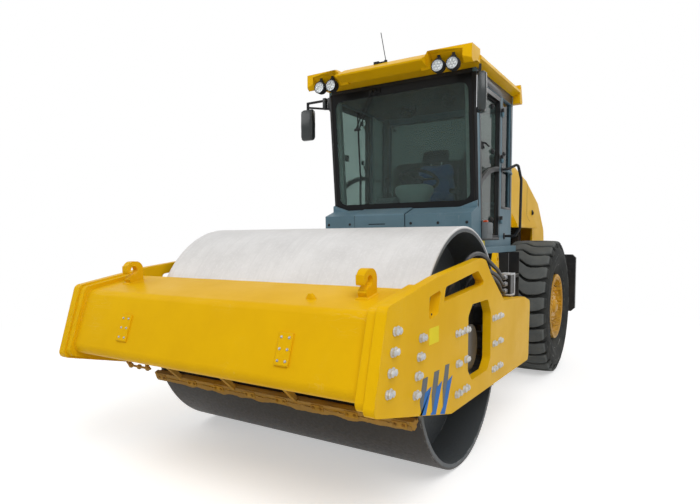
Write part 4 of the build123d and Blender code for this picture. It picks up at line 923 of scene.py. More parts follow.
# ---- front beam: screwed pads and weld beads ----
beamPads = {"y": (-0.605, 0.627), "z": 0.97, "w": 0.086, "h": 0.17, "t": 0.01, "screwAcross": 0.024,
    "screwUp": 0.06}
padScrew = {"washerR": 0.0075, "washerT": 0.001, "headR": 0.0056, "headT": 0.004, "threadR": 0.003,
    "threadOut": 0.0008}


def makeBeamPads():
    pads, screws = [], []
    for y in beamPads["y"]:
        place, normal = surface("front_beam", (drumX + 3.0, y, beamPads["z"]), (-1, 0, 0))
        pad = addBlock((-beamPads["w"] / 2, -beamPads["h"] / 2, -0.001),
            (beamPads["w"] / 2, beamPads["h"] / 2, beamPads["t"]), 0.002)
        insetFaces(pad, lambda c, n: n.z > 0.9, 0.003, 0.0006)
        pads.append(layOn(pad, place, normal))
        across = Vector((0, 0, 1)).cross(normal).normalized()
        top = normal.cross(across)
        for side in (-1, 1):
            for row in (-1, 0, 1):
                screws.append((place + across * side * beamPads["screwAcross"] + top * row
                    * beamPads["screwUp"] + normal * beamPads["t"], normal))
    single("beamPads", pads, "front_frame", yellow)
    bolts("beamPadScrews", screws, padScrew, "front_frame", zinc)


makeBeamPads()


def addBead(points, radius, closed=False):
    # weld bead: a tube along a seam, its skin pushed in and out a little
    curve = addCurve("bead", points, radius, order=2, sides=3)
    curve.data.splines[0].use_cyclic_u = closed
    curve.data.splines[0].use_endpoint_u = not closed
    take(curve)
    bpy.ops.object.convert(target="MESH")
    bead = bpy.context.object
    for point in bead.data.vertices:
        point.co += point.normal * random.uniform(-0.12, 0.18) * radius
    return bead


def makeWelds():
    # beads around the hooks on the beam, and where the beam meets the side plates
    beads = []
    hookLow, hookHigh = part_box("lifting_hooks")
    for side in (1, -1):
        y0, y1 = side * (hookHigh.y - 0.054), side * (hookHigh.y + 0.004)
        ring = []
        for x, y in ((hookLow.x + 0.002, y0), (hookLow.x + 0.07, y0), (hookLow.x + 0.13, y0),
            (hookLow.x + 0.13, y1), (hookLow.x + 0.07, y1), (hookLow.x + 0.002, y1)):
            ring.append(surface("front_beam", (x, y, 3), (0, 0, -1))[0])
        beads.append(addBead(ring, 0.0065, True))
        seam = [surface("front_beam", (x, side * 1.105, 3), (0, 0, -1))[0] for x in (2.6, 2.7, 2.8, 2.9)]
        beads.append(addBead([(p.x, side * (plateLow.y - 0.001), p.z) for p in seam], 0.005))
    single("beamBeads", beads, "front_frame", yellow, 60)


makeWelds()


# ---- scrapers: clips, bolts and a crust of dried soil ----
scraperLook = {"angle": {"front_scraper": 21.5, "rear_scraper": 152.0}, "clipHalf": (0.045, 0.021),
    "clipT": 0.009, "boltOff": 0.026, "crustT": 0.006, "tears": 40,
    "clipY": (-0.98, -0.66, -0.4, -0.12, 0.14, 0.42, 0.66, 0.97)}


def addCrust(middle, out, up, length, height, thick, ragged):
    # a strip pushed from a fine grid, lumpy all over and torn along its lower edge
    strip = addSlab(150, 4)
    out, up = Vector(out), Vector(up)
    tears = [random.random() ** 2.2 * ragged for _ in range(scraperLook["tears"] + 2)]
    for point in strip.data.vertices:
        u, v, w = point.co
        spot = (u + 1) / 2 * scraperLook["tears"]
        tear = tears[int(spot)] + (tears[int(spot) + 1] - tears[int(spot)]) * (spot % 1)
        low = -tear if v < 0 else random.uniform(-0.2, 0.4) * ragged
        push = thick * (0.35 + 0.65 * random.random()) if w > 0.5 else -0.002
        point.co = Vector(middle) + Vector((0, u * length / 2, 0)) + up * (v * height / 2 + low
            * abs(v)) + out * push
    return outward(strip)


def dressScraper(name):
    angle = math.radians(scraperLook["angle"][name])
    out = Vector((math.cos(angle), 0, -math.sin(angle)))
    up = Vector((math.copysign(math.sin(angle), out.x), 0, abs(math.cos(angle))))
    start = Vector((drumX, 0, drumR)) + out * (drumR + 0.4)
    clips, places = [], []
    for y in scraperLook["clipY"]:
        place, normal = surface(name, (start.x, y, start.z), -out)
        halfX, halfY = scraperLook["clipHalf"]
        clip = addBlock((-halfX, -halfY, -0.002), (halfX, halfY, scraperLook["clipT"]), 0.002)
        clips.append(layOn(clip, place, normal))
        places += [(place + Vector((0, shift, 0)) + normal * scraperLook["clipT"], normal)
            for shift in (-scraperLook["boltOff"], scraperLook["boltOff"])]
    word = name.replace("_s", "S")
    single(word + "Clips", clips, "front_frame", wornYellow)
    bolts(word + "Bolts", places, smallBolt, "front_frame", wornYellow)
    face = surface(name, (start.x, 0.05, start.z), -out)[0]
    lower = addCrust((face.x - up.x * 0.018, 0, face.z - up.z * 0.018), out, up, 2.08, 0.026,
        scraperLook["crustT"], 0.02)
    upper = addCrust((face.x + up.x * 0.02, 0, face.z + up.z * 0.02), out, up, 2.06, 0.016,
        scraperLook["crustT"] * 0.7, 0.01)
    single(word + "Crust", [lower, upper], "front_frame", driedSoil, 60)


dressScraper("front_scraper")
dressScraper("rear_scraper")
print("stage: front frame dressed")


# ---- tyres ----
tyreLook = {
    "bars": 27,
    "barShare": 0.82,
    "shoulderShare": 0.6,
    "floorR": 0.704,
    # how far a bar is turned ahead, along its width
    "wave": [(-1.0, 0.036), (-0.75, -0.012), (-0.5, -0.062), (-0.3, -0.066), (0.05, 0.042),
        (0.25, 0.066), (0.55, 0.06), (1.0, 0.024)],
    # half of the carcass outline from the bead up to the middle: radius, distance from the tyre's middle
    "carcass": [(0.372, 0.176), (0.384, 0.19), (0.402, 0.196), (0.44, 0.216), (0.5, 0.244),
        (0.545, 0.2555), (0.556, 0.259), (0.568, 0.259), (0.578, 0.256), (0.61, 0.256), (0.64, 0.251),
        (0.658, 0.242), (0.674, 0.228), (0.691, 0.203), (0.7, 0.175), (0.704, 0.12), (0.704, 0.06),
        (0.704, 0.0)],
    # bar tops: distance from the middle, radius
    "top": [(0.0, 0.744), (0.06, 0.744), (0.12, 0.7425), (0.18, 0.74), (0.2205, 0.7365), (0.23, 0.71),
        (0.242, 0.678)],
}


def along(rows, value):
    # reads a table of rising rows, straight between them
    for (a, b), (c, d) in zip(rows, rows[1:]):
        if value <= c:
            return b + (d - b) * (value - a) / (c - a)
    return rows[-1][1]


def makeCarcass(y):
    half = tyreLook["carcass"]
    outline = [(r, -a) for r, a in half] + [(r, a) for r, a in reversed(half[:-1])]
    inner = [(r - 0.016, a * 0.9) for r, a in reversed(outline[2:-2])]
    return addTurned(outline + inner, (axleX, y, tyreR), "y", 96)


def makeTreadBars(y):
    # one bar: a grid pushed up to a slab, then bent along its wave and over the shoulders
    look = tyreLook
    bar = addSlab(22, 4)
    outward(bar)
    halfTop = look["top"][-1][0]
    pitch = math.tau / look["bars"]
    for point in bar.data.vertices:
        u, v, w = point.co
        off = abs(u) * halfTop
        share = along([(0, look["barShare"]), (0.72, look["barShare"]), (1.0, look["shoulderShare"])],
            abs(u))
        angle = v * pitch / 2 * (share - 0.03 * w) + along(look["wave"], u * math.copysign(1, y))
        foot = min(look["floorR"] - 0.004, along(look["top"], off) - 0.002)
        foot = along([(0, foot), (0.2, foot), (halfTop, foot - 0.012)], off)
        r = foot + w * (along(look["top"], off) - foot)
        point.co = (r * math.sin(angle), u * halfTop, r * math.cos(angle))
    bevelEdges(bar, 0.004, 2, 50)
    copies = [copyPiece(bar, (axleX, y, tyreR), Matrix.Rotation(n * pitch, 4, "Y"))
        for n in range(look["bars"])]
    bpy.data.objects.remove(bar)
    return joinPieces("treadBars", copies)


def makeSidewallMarks(y):
    # two low rings moulded on each sidewall
    rings = []
    for side in (-1, 1):
        for r, off in ((0.47, 0.2305), (0.6, 0.2558)):
            rings.append(addTurned([(r - 0.004, side * (off - 0.003)), (r, side * (off + 0.0022)),
                (r + 0.004, side * (off - 0.003))], (axleX, y, tyreR), "y", 80))
    return joinPieces("sidewallMarks", rings)


def makeTyres():
    for word, side in (("Left", 1), ("Right", -1)):
        y = side * trackHalf
        parts = [makeCarcass(y), makeTreadBars(y), makeSidewallMarks(y)]
        tyre = joinPieces("tyre" + word, parts)
        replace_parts(tyre, "tyre_" + word.lower())
        finishPiece(tyre, "wheel_" + word.lower(), tyreRubber, 38)


makeTyres()
print("stage: tyres made")


# ---- wheel details: hand holes, nuts, hub cover, lock ring, valve ----
wheelLook = {
    "holes": 8, "holeCircle": 0.262, "holeHalf": (0.024, 0.038), "nuts": 16, "nutCircle": 0.196,
    "coverBolts": 10, "coverCircle": 0.134, "plugUp": 0.03, "plugOut": (0.04, 0.058), "plugR": 0.012,
    # turned outlines: radius, distance out from the lip, the disc and the hub
    "lockRing": [(0.336, -0.002), (0.338, 0.006), (0.352, 0.007), (0.36, 0.002), (0.36, -0.002)],
    "discRing": [(0.226, -0.001), (0.228, 0.004), (0.232, 0.004), (0.234, -0.001)],
    "cover": [(0.0005, 0.046), (0.052, 0.044), (0.07, 0.036), (0.078, 0.012), (0.112, 0.01),
        (0.152, 0.008), (0.156, 0.004), (0.157, -0.003), (0.0005, -0.003)],
    "valve": [(0.1, 0.98, 0.245), (0.1, 1.05, 0.245), (0.098, 1.072, 0.24), (0.094, 1.095, 0.228)],
    "valveR": 0.0045,
}
wheelNut = {"washerR": 0.0175, "washerT": 0.004, "headR": 0.0158, "headT": 0.016, "threadR": 0.01,
    "threadOut": 0.011}
coverBolt = {"washerR": 0.0105, "washerT": 0.002, "headR": 0.009, "headT": 0.007, "threadR": 0.0045,
    "threadOut": 0.0015}


def around(count, circle, side, y, start=0.0):
    places = []
    for n in range(count):
        angle = start + n * math.tau / count
        places.append(((axleX + circle * math.cos(angle), side * y, tyreR + circle * math.sin(angle)),
            (0, side, 0)))
    return places


def makeWheel(word, side):
    node, body, look = "rim_" + word.lower(), "wheel_" + word.lower(), wheelLook
    middle = Vector((axleX, 0, tyreR))
    discY = abs(surface(node, (axleX + look["nutCircle"], side * 3, tyreR), (0, -side, 0))[0].y)
    hubY = abs(surface(node, (axleX + 0.05, side * 3, tyreR), (0, -side, 0))[0].y)
    lipY = abs(surface(node, (axleX + 0.35, side * 3, tyreR), (0, -side, 0))[0].y)
    cutters = []
    for n in range(look["holes"]):
        angle = (n + 0.5) * math.tau / look["holes"]
        cutter = addRod((0, discY - 0.06, 0), (0, discY + 0.04, 0), 1.0, 24)
        cutter.data.transform(Matrix.Diagonal((look["holeHalf"][0], 1, look["holeHalf"][1], 1)))
        cutter.data.transform(Matrix.Rotation(-angle, 4, "Y")
            @ Matrix.Translation((look["holeCircle"], 0, 0)))
        cutter.data.transform(Matrix.Translation(middle) @ Matrix.Scale(side, 4, (0, 1, 0)))
        cutters.append(outward(cutter))
    rim = cutAway(workingCopy("rim" + word, node), cutters)
    finishPiece(rim, body, rimYellow, 32)

    def ringFrom(base, rows, steps):
        # rows of radius and distance out from a face
        return addTurned([(r, side * (base + out)) for r, out in rows], middle, "y", steps)

    rings = [ringFrom(lipY, look["lockRing"], 72), ringFrom(discY, look["discRing"], 72)]
    single("wheelRings" + word, rings, body, rimYellow, 40)
    plugEnds = [middle + Vector((0, side * (hubY + out), look["plugUp"])) for out in look["plugOut"]]
    plug = addRod(*plugEnds, look["plugR"], 6, 0.0015)
    single("hubCover" + word, [ringFrom(hubY, look["cover"], 64), plug], body, rimYellow, 40)
    bolts("wheelNuts" + word, around(look["nuts"], look["nutCircle"], side, discY), wheelNut, body,
        rimYellow)
    bolts("coverBolts" + word, around(look["coverBolts"], look["coverCircle"], side, hubY + 0.009, 0.2),
        coverBolt, body, rimYellow)
    stem = addTube([middle + Vector((x, side * y, z)) for x, y, z in look["valve"]], look["valveR"],
        name="valve" + word)
    finishPiece(stem, body, rubber)


makeWheel("Left", 1)
makeWheel("Right", -1)
print("stage: wheels made")


# ---- cab front: glass edges, pillars, wipers, cowl ----
front = {
    # the windshield leans: x of its outer face at the low height, and metres forward per metre up
    "z": 1.8, "x": 0.236, "lean": 0.1055, "halfW": 0.708, "lowZ": 1.793, "highZ": 2.957, "sealR": 0.0055,
    "frit": {"side": 0.036, "low": 0.07, "high": 0.075, "corner": 0.075, "t": 0.0012},
}


def onFront(y, z, out=0.0):
    return Vector((front["x"] + (z - front["z"]) * front["lean"] + out, y, z))


def bandAround(name, place, outer, inner, corner, push, steps=8):
    # a flat band between a rectangle and a rounded opening, made of two halves; place(u, v) gives each spot
    (u0, v0, u1, v1), (_, b0, a1, b1) = outer, inner
    middle, halves = (u0 + u1) / 2, []
    edge = [(middle, v1), (u1, v1), (u1, v0), (middle, v0), (middle, b0)]
    for cv, start in ((b0 + corner, -90), (b1 - corner, 0)):
        for n in range(steps + 1):
            angle = math.radians(start + 90 * n / steps)
            edge.append((a1 - corner + corner * math.cos(angle), cv + corner * math.sin(angle)))
    edge.append((middle, b1))
    for side in (1, -1):
        halves.append(addPlate([place(middle + side * (u - middle), v) for u, v in edge], push))
    return joinPieces(name, halves)


def fitted(name, x, z0, z1, y0, y1, bevel=0.004):
    # a strip that follows the windshield's lean; x is its reach behind and ahead of the glass face
    outline = [onFront(y0, z0, x[0]), onFront(y0, z0, x[1]), onFront(y0, z1, x[1]), onFront(y0, z1, x[0])]
    return addPlate(outline, (0, y1 - y0, 0), bevel, name=name)


def makeFrit():
    look, w = front["frit"], front["halfW"]
    band = bandAround("windshieldFrit", lambda u, v: onFront(u, v, 0.0008),
        (-w, front["lowZ"], w, front["highZ"]), (-w + look["side"], front["lowZ"] + look["low"],
        w - look["side"], front["highZ"] - look["high"]), look["corner"], (look["t"], 0, 0))
    finishPiece(band, "root", fritBlack, 0)
    # rubber seal around the glass
    z0, z1 = front["lowZ"] - 0.001, front["highZ"] + 0.001
    w += 0.001
    corners = [onFront(y, z) for y, z in ((-w, z0), (w, z0), (w, z1), (-w, z1))]
    sides = [addTube([a, a.lerp(b, 0.5), b], front["sealR"]) for a,
        b in zip(corners, corners[1:] + corners[:1])]
    single("windshieldSeal", sides, "root", rubber)


def makePillars():
    # black trim on the front pillars, pale trim panels inside, and the black band under the roof
    trim = fitted("pillarTrim", (-0.012, -0.004), front["lowZ"], front["highZ"], 0.7105, 0.7415, 0.002)
    bothSides(trim, "pillarTrim", rootPair, blackPaint)
    cover = fitted("pillarCover", (-0.075, -0.02), 1.86, 2.9, 0.632, 0.688, 0.01)
    bothSides(cover, "pillarCover", rootPair, pillarPale)
    band = addBlock((-0.865, 0.7395, 2.9), (0.338, 0.7425, 2.986), 0.001)
    bothSides(band, "roofBand", rootPair, blackPaint)
    header = addBlock((0.345, -0.708, 2.962), (0.36, 0.708, 2.988), 0.003, name="roofHeader")
    finishPiece(header, "root", blackPaint)


wiper = {"tops": ((-0.245, 2.925), (-0.2, 2.925)), "foot": ((-0.44, 2.59), (-0.405, 2.59)),
    "blade": (2.065, 2.76), "bladeY": -0.42, "armR": 0.0055, "spindleR": 0.011,
    "claws": (2.16, 2.34, 2.5, 2.68)}


def makeWiper():
    # two parallel arms from their spindles to the blade's yoke, the blade with its rubber
    look, parts = wiper, []
    for (y0, z0), (y1, z1) in zip(look["tops"], look["foot"]):
        route = [onFront(y0, z0, 0.034), onFront(y0 * 0.8 + y1 * 0.2, z0 * 0.8 + z1 * 0.2, 0.04),
            onFront((y0 + y1) / 2, (z0 + z1) / 2, 0.036), onFront(y1, z1, 0.026)]
        parts.append(addTube(route, look["armR"]))
        parts.append(addRod(onFront(y0, z0, 0.0), onFront(y0, z0, 0.044), look["spindleR"], 16, 0.002))
    y, (z0, z1) = look["bladeY"], look["blade"]
    parts.append(addBlock(onFront(-0.455, 2.578, 0.018), onFront(-0.39, 2.602, 0.03), 0.003))
    spine = [onFront(y, z0, 0.01), onFront(y, z0 * 0.7 + z1 * 0.3, 0.02),
        onFront(y, z0 * 0.3 + z1 * 0.7, 0.02), onFront(y, z1, 0.01)]
    parts.append(addTube(spine, look["armR"]))
    parts.append(fitted("wiperRubber", (0.0015, 0.012), z0, z1, y - 0.003, y + 0.003, 0.001))
    for z in look["claws"]:
        parts.append(addBlock(onFront(y - 0.007, z - 0.006, 0.006), onFront(y + 0.007, z + 0.006, 0.018),
            0.001))
    parts.append(addBlock(onFront(-0.285, 2.905), onFront(-0.165, 2.948, 0.016), 0.006))
    single("wiper", parts, "root", blackPlastic)


cowl = {
    "raised": (-0.4, 0.118), "proud": 0.01, "seamW": 0.006, "seamOut": 0.0014, "screwZ": 1.66,
    "screws": (-0.7, -0.46, 0.18, 0.44, 0.7),
    # outline of its face from the front's lower edge over the top, x and z
    "face": [(0.4205, 1.506), (0.43, 1.742), (0.4235, 1.7442), (0.244, 1.8034)],
}


def cowlStrip(name, y0, y1, out, thick):
    # a skin laid along the cowl's front and top
    a, b, c, d = (Vector((x, 0, z)) for x, z in cowl["face"])
    front1, top = Vector((1, 0, -0.04)), Vector((0.313, 0, 0.95))
    outer = [a + front1 * out, b + front1 * out, c + top * out + front1 * out * 0.4, d + top * out]
    inner = [d + top * (out - thick), c + (top + front1) * (out - thick) * 0.5, b + front1 * (out - thick),
        a + front1 * (out - thick)]
    return addPlate([(p.x, y0, p.z) for p in outer + inner], (0, y1 - y0, 0), 0.002, name=name)


def makeCowl():
    y0, y1 = cowl["raised"]
    lid = cowlStrip("cowlLid", y0, y1, cowl["proud"], cowl["proud"] + 0.002)
    slot = addBlock((0.42, -0.25, 1.653), (0.46, -0.075, 1.661))
    finishPiece(cutAway(lid, [slot]), "root", greyPaint, 30)
    half = cowl["seamW"] / 2
    seamsAndSlotShade = [cowlStrip("cowlSeam", y - half, y + half, cowl["seamOut"], 0.003) for y in (y0 - 0.004,
        y1 + 0.004)]
    # a black strip at the back of the slot: painted shade in the opening
    seamsAndSlotShade.append(addBlock((0.4255, -0.25, 1.6535), (0.429, -0.075, 1.6605)))
    single("cowlSeams", seamsAndSlotShade, "root", fritBlack, 0)
    # corner fairings that rise towards the pillars, and fixings along the front
    wing = addPlate([(0.2455, 0.56, 1.8), (0.247, 0.7395, 1.862), (0.245, 0.7395, 1.796),
        (0.245, 0.56, 1.796)], (0.03, 0, -0.01), 0.003)
    bothSides(wing, "cowlWing", rootPair, greyPaint)
    places = [((0.4262, y, cowl["screwZ"]), (1, 0, -0.04)) for y in cowl["screws"]]
    bolts("cowlScrews", places, smallBolt, "root", blackPlastic)


makeFrit()
makePillars()
makeWiper()
makeCowl()
print("stage: cab front made")


# ---- inside the cab ----
clothLook = {"voxel": 0.006, "quickVoxel": 0.009, "pressure": 4.0, "stiff": 30.0, "frames": 20,
    "cap": 0.024, "grooveHalf": 0.021, "grooveDepth": 0.012, "fill": 0.9}
seatLook = {"postY": (-0.06, 0.06), "slideY": (-0.19, 0.19), "bellowX": -0.47,
    "bellowZ": (1.535, 1.575, 1.615, 1.655), "bellowHalf": 0.02}


def clothPad(name, rings, way, grooves):
    # a cushion: a closed rounded skin, remeshed fine, blown up a little as cloth,
    # then stitched across at each groove
    look = clothLook
    pad = addLoft(rings, 40, name=name)
    addModifier(pad, "REMESH", mode="VOXEL", voxel_size=look["voxel"])
    take(pad)
    cloth = pad.modifiers.new("cloth", "CLOTH")
    cloth.settings.use_pressure = True
    cloth.settings.uniform_pressure_force = look["pressure"]
    cloth.settings.effector_weights.gravity = 0.0
    cloth.settings.quality = 5
    cloth.settings.tension_stiffness = cloth.settings.compression_stiffness = look["stiff"]
    cloth.point_cache.frame_start, cloth.point_cache.frame_end = 1, look["frames"]
    before = [point.co.copy() for point in pad.data.vertices]
    for frameNumber in range(1, look["frames"] + 1):
        bpy.context.scene.frame_set(frameNumber)
    bpy.ops.object.modifier_apply(modifier=cloth.name)
    bpy.context.scene.frame_set(1)
    for point, start in zip(pad.data.vertices, before):
        moved = point.co - start
        if moved.length > look["cap"]:
            point.co = start + moved * (look["cap"] / moved.length)
    addModifier(pad, "SUBSURF", levels=1, render_levels=1)
    for point in pad.data.vertices:
        for place in grooves:
            near = abs((point.co.x if way == "x" else point.co.z) - place) / look["grooveHalf"]
            if near < 1.0:
                point.co -= point.normal * look["grooveDepth"] * (1 - near * near) ** 2
    addModifier(pad, "SMOOTH", factor=0.5, iterations=3)
    return finishPiece(pad, "root", seatCloth, 180)


def makeSeat():
    low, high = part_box("seat_cushion")
    x, halfX, halfY = (low.x + high.x) / 2, (high.x - low.x) / 2, high.y
    rings = [(low.z + 0.004, x, 0, halfX - 0.045, halfY - 0.045, 5),
        (low.z + 0.016, x, 0, halfX - 0.018, halfY - 0.018, 6),
        (low.z + 0.06, x, 0, halfX - 0.01, halfY - 0.01, 6),
        (low.z + 0.086, x, 0, halfX - 0.024, halfY - 0.024, 5),
        (low.z + 0.097, x, 0, halfX - 0.07, halfY - 0.075, 4)]
    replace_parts(clothPad("seatCushion", rings, "x", [x - 0.06, x + 0.09]), "seat_cushion")
    low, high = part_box("seat_back")
    x, halfX = (low.x + high.x) / 2, (high.x - low.x) / 2
    rings = [(low.z + 0.006, x, 0, halfX - 0.02, 0.19, 4),
        (low.z + 0.03, x + 0.006, 0, halfX - 0.012, 0.215, 5),
        (low.z + 0.2, x + 0.004, 0, halfX - 0.01, 0.226, 5), (low.z + 0.37, x, 0, halfX - 0.012, 0.205, 5),
        (low.z + 0.425, x - 0.004, 0, halfX - 0.018, 0.18, 4),
        (low.z + 0.445, x - 0.006, 0, halfX - 0.032, 0.15, 3)]
    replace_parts(clothPad("seatBack", rings, "z", [low.z + 0.14, low.z + 0.29]), "seat_back")
    head = addLoft([(2.352, x, 0, 0.03, 0.11, 4), (2.362, x, 0, 0.042, 0.132, 5),
        (2.44, x + 0.002, 0, 0.046, 0.14, 5), (2.468, x, 0, 0.038, 0.128, 4),
        (2.476, x - 0.002, 0, 0.022, 0.1, 3)], 36, name="headRest")
    finishPiece(head, "root", seatDark, 60)
    posts = [addRod((x - 0.004, y, 2.3), (x - 0.004, y, 2.365), 0.007, 12) for y in seatLook["postY"]]
    single("headPosts", posts, "root", chrome)
    arm = addStack(0, 0, [(0, 0.125, 0.026, 3), (0.01, 0.135, 0.034, 4), (0.032, 0.135, 0.034, 4),
        (0.042, 0.122, 0.024, 3)], 28)
    arm.data.transform(Matrix.Translation((-0.47, 0.288, 1.985)))
    stay = addBlock((-0.65, 0.258, 1.96), (-0.56, 0.282, 2.01), 0.006)
    sidePair("armRest", [arm, stay], rootPair, seatDark, 50)
    slides = [addBlock((-0.72, y - 0.018, 1.738), (-0.24, y + 0.018, 1.762), 0.003)
        for y in seatLook["slideY"]]
    slides.append(addTube([(-0.235, -0.16, 1.752), (-0.205, -0.16, 1.752), (-0.2, -0.1, 1.752),
        (-0.2, 0.1, 1.752), (-0.205, 0.16, 1.752), (-0.235, 0.16, 1.752)], 0.006))
    half = seatLook["bellowHalf"]
    bellows = [addStack(seatLook["bellowX"], 0, [(z - half, 0.222, 7), (z, 0.244, 7), (z + half, 0.222, 7)])
        for z in seatLook["bellowZ"]]
    single("seatFrame", slides + bellows, "root", blackPlastic)


dialLook = {"lean": math.radians(-58), "panel": (-0.16, 0, 2.01), "place": (-0.172, 0, 2.016),
    "y": (-0.085, 0.0, 0.085), "ringR": (0.034, 0.026, 0.034), "faceR": (0.029, 0.021, 0.029), "rockers": 9,
    "rockerStep": 0.025}


def makeDash():
    # pale column that widens to a rounded hood over the dials
    column = addLoft([(1.492, -0.07, 0, 0.155, 0.15, 5), (1.7, -0.075, 0, 0.118, 0.125, 5),
        (1.86, -0.08, 0, 0.098, 0.118, 4.5), (1.93, -0.078, 0, 0.104, 0.15, 4),
        (1.975, -0.074, 0, 0.11, 0.182, 4), (2.02, -0.072, 0, 0.108, 0.188, 4),
        (2.044, -0.07, 0, 0.096, 0.176, 3.5), (2.058, -0.068, 0, 0.07, 0.14, 3)], 40, name="dashColumn")
    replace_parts(column, "dash_console")
    finishPiece(column, "root", dashGrey, 50)
    face = addStack(0, 0, [(0, 0.052, 0.14, 6), (0.012, 0.056, 0.146, 6), (0.018, 0.05, 0.138, 6)], 32,
        name="dialPanel")
    face.data.transform(Matrix.Translation(dialLook["panel"]) @ Matrix.Rotation(dialLook["lean"], 4, "Y"))
    finishPiece(face, "root", blackPlastic, 40)
    parts = []
    tilt = Matrix.Translation(dialLook["place"]) @ Matrix.Rotation(dialLook["lean"], 4, "Y")
    for y, r in zip(dialLook["y"], dialLook["ringR"]):
        ring = addTurned([(r - 0.005, 0.0), (r - 0.005, 0.007), (r, 0.008), (r + 0.003, 0.0)], (0, 0, 0),
            "z", 32)
        parts.append(copyPiece(ring, (0, 0, 0), tilt @ Matrix.Translation((0, y, 0.002))))
        bpy.data.objects.remove(ring)
    single("dialRings", parts, "root", chrome)
    dials = []
    for y, r in zip(dialLook["y"], dialLook["faceR"]):
        disc = addRod((0, y, 0.001), (0, y, 0.006), r, 32, 0.0006)
        needle = addBlock((-0.001, y - 0.001, 0.006), (r * 0.75, y + 0.001, 0.0068))
        dials += [disc, needle]
    face = joinPieces("dialFaces", dials)
    face.data.transform(tilt)
    finishPiece(face, "root", dialFace)
    step = dialLook["rockerStep"]
    switches = [addBlock((-0.012, -0.1 + step * n, 0.016), (0.012, -0.082 + step * n, 0.023), 0.002)
        for n in range(dialLook["rockers"])]
    rockers = joinPieces("rockers", switches)
    rockers.data.transform(Matrix.Translation((0.032, 0, 0)))
    rockers.data.transform(tilt)
    finishPiece(rockers, "root", blackPlastic)


def makeWheelDetails():
    # horn cap, turning knob and the column's boot
    low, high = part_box("steering_wheel")
    middle = Vector(((low.x + high.x) / 2, 0, (low.z + high.z) / 2))
    axis = Vector((-0.42, 0, 0.91)).normalized()
    cap = addStack(0, 0, [(-0.01, 0.04, 2), (0.008, 0.046, 2), (0.02, 0.038, 2), (0.024, 0.02, 2)], 32)
    boot = addStack(0, 0, [(-0.115, 0.05, 2.4), (-0.08, 0.044, 2.2), (-0.06, 0.047, 2), (-0.045, 0.036, 2),
        (-0.012, 0.03, 2)], 28)
    knob = addStack(0.15, 0.11, [(0.01, 0.008, 2), (0.022, 0.018, 2), (0.045, 0.021, 2), (0.056, 0.01, 2)],
        20)
    piece = joinPieces("wheelDetails", [cap, boot, knob])
    turned = axis.to_track_quat("Z", "Y").to_matrix().to_4x4()
    piece.data.transform(Matrix.Translation(middle) @ turned)
    finishPiece(piece, "root", blackPlastic)


def makeConsole():
    # right-hand console: lever with its boot, knobs, switches and arm pad; left: a small shelf
    x, y = -0.3, -0.395
    boot = addStack(x, y, [(1.955, 0.052, 3), (1.968, 0.048, 2.5), (1.975, 0.036, 2), (1.985, 0.04, 2),
        (1.995, 0.026, 2), (2.004, 0.029, 2), (2.016, 0.014, 2)], 24)
    grip = addLoft([(2.07, x + 0.01, y, 0.012, 0.012, 2), (2.085, x + 0.012, y, 0.02, 0.018, 2.4),
        (2.135, x + 0.018, y, 0.024, 0.02, 2.6), (2.16, x + 0.024, y, 0.022, 0.022, 2.6),
        (2.172, x + 0.026, y, 0.012, 0.014, 2)], 24)
    stem = addRod((x, y, 2.005), (x + 0.01, y, 2.078), 0.008, 14)
    knobs = [addStack(-0.55 + 0.05 * n, -0.34, [(1.958, 0.011, 2), (1.974, 0.01, 2), (1.977, 0.006, 2)], 18)
        for n in range(3)]
    rows = [addBlock((-0.56 + 0.035 * n, -0.465, 1.958), (-0.536 + 0.035 * n, -0.42, 1.968), 0.002)
        for n in range(5)]
    single("consoleControls", [boot, grip, stem, *knobs, *rows], "root", blackPlastic)
    pad = addStack(-0.56, y, [(1.958, 0.09, 0.085, 6), (1.972, 0.094, 0.089, 6), (1.98, 0.084, 0.079, 5)],
        28, name="consolePad")
    finishPiece(pad, "root", seatDark, 50)
    shelf = addBlock((-0.8, 0.34, 1.488), (-0.33, 0.64, 1.64), 0.02, name="leftShelf")
    finishPiece(shelf, "root", greyPlastic)


def makeFan(x, y, z):
    # small caged fan on a bracket, facing the driver
    parts = [addTurned([(0.07, -0.012), (0.076, -0.012), (0.076, 0.012), (0.07, 0.012)], (x, y, z), "x",
        32)]
    for n in range(5):
        blade = addPlate([(0.004, 0.01, 0.0), (0.004, 0.03, 0.052), (-0.008, -0.01, 0.06),
            (-0.004, -0.01, 0.0)], (0.002, 0, 0))
        blade.data.transform(Matrix.Translation((x, y, z)) @ Matrix.Rotation(n * math.tau / 5, 4, "X"))
        parts.append(blade)
    for n in range(10):
        spoke = addRod((-0.013, 0, 0.01), (-0.013, 0, 0.073), 0.0014, 6)
        spoke.data.transform(Matrix.Translation((x, y, z)) @ Matrix.Rotation(n * math.tau / 10, 4, "X"))
        parts.append(spoke)
    parts.append(addRod((x - 0.018, y, z), (x + 0.045, y, z), 0.022, 20, 0.004))
    parts.append(addRod((x + 0.02, y, z + 0.06), (x + 0.02, y, 2.9), 0.007, 12))
    return joinPieces("fan", parts)


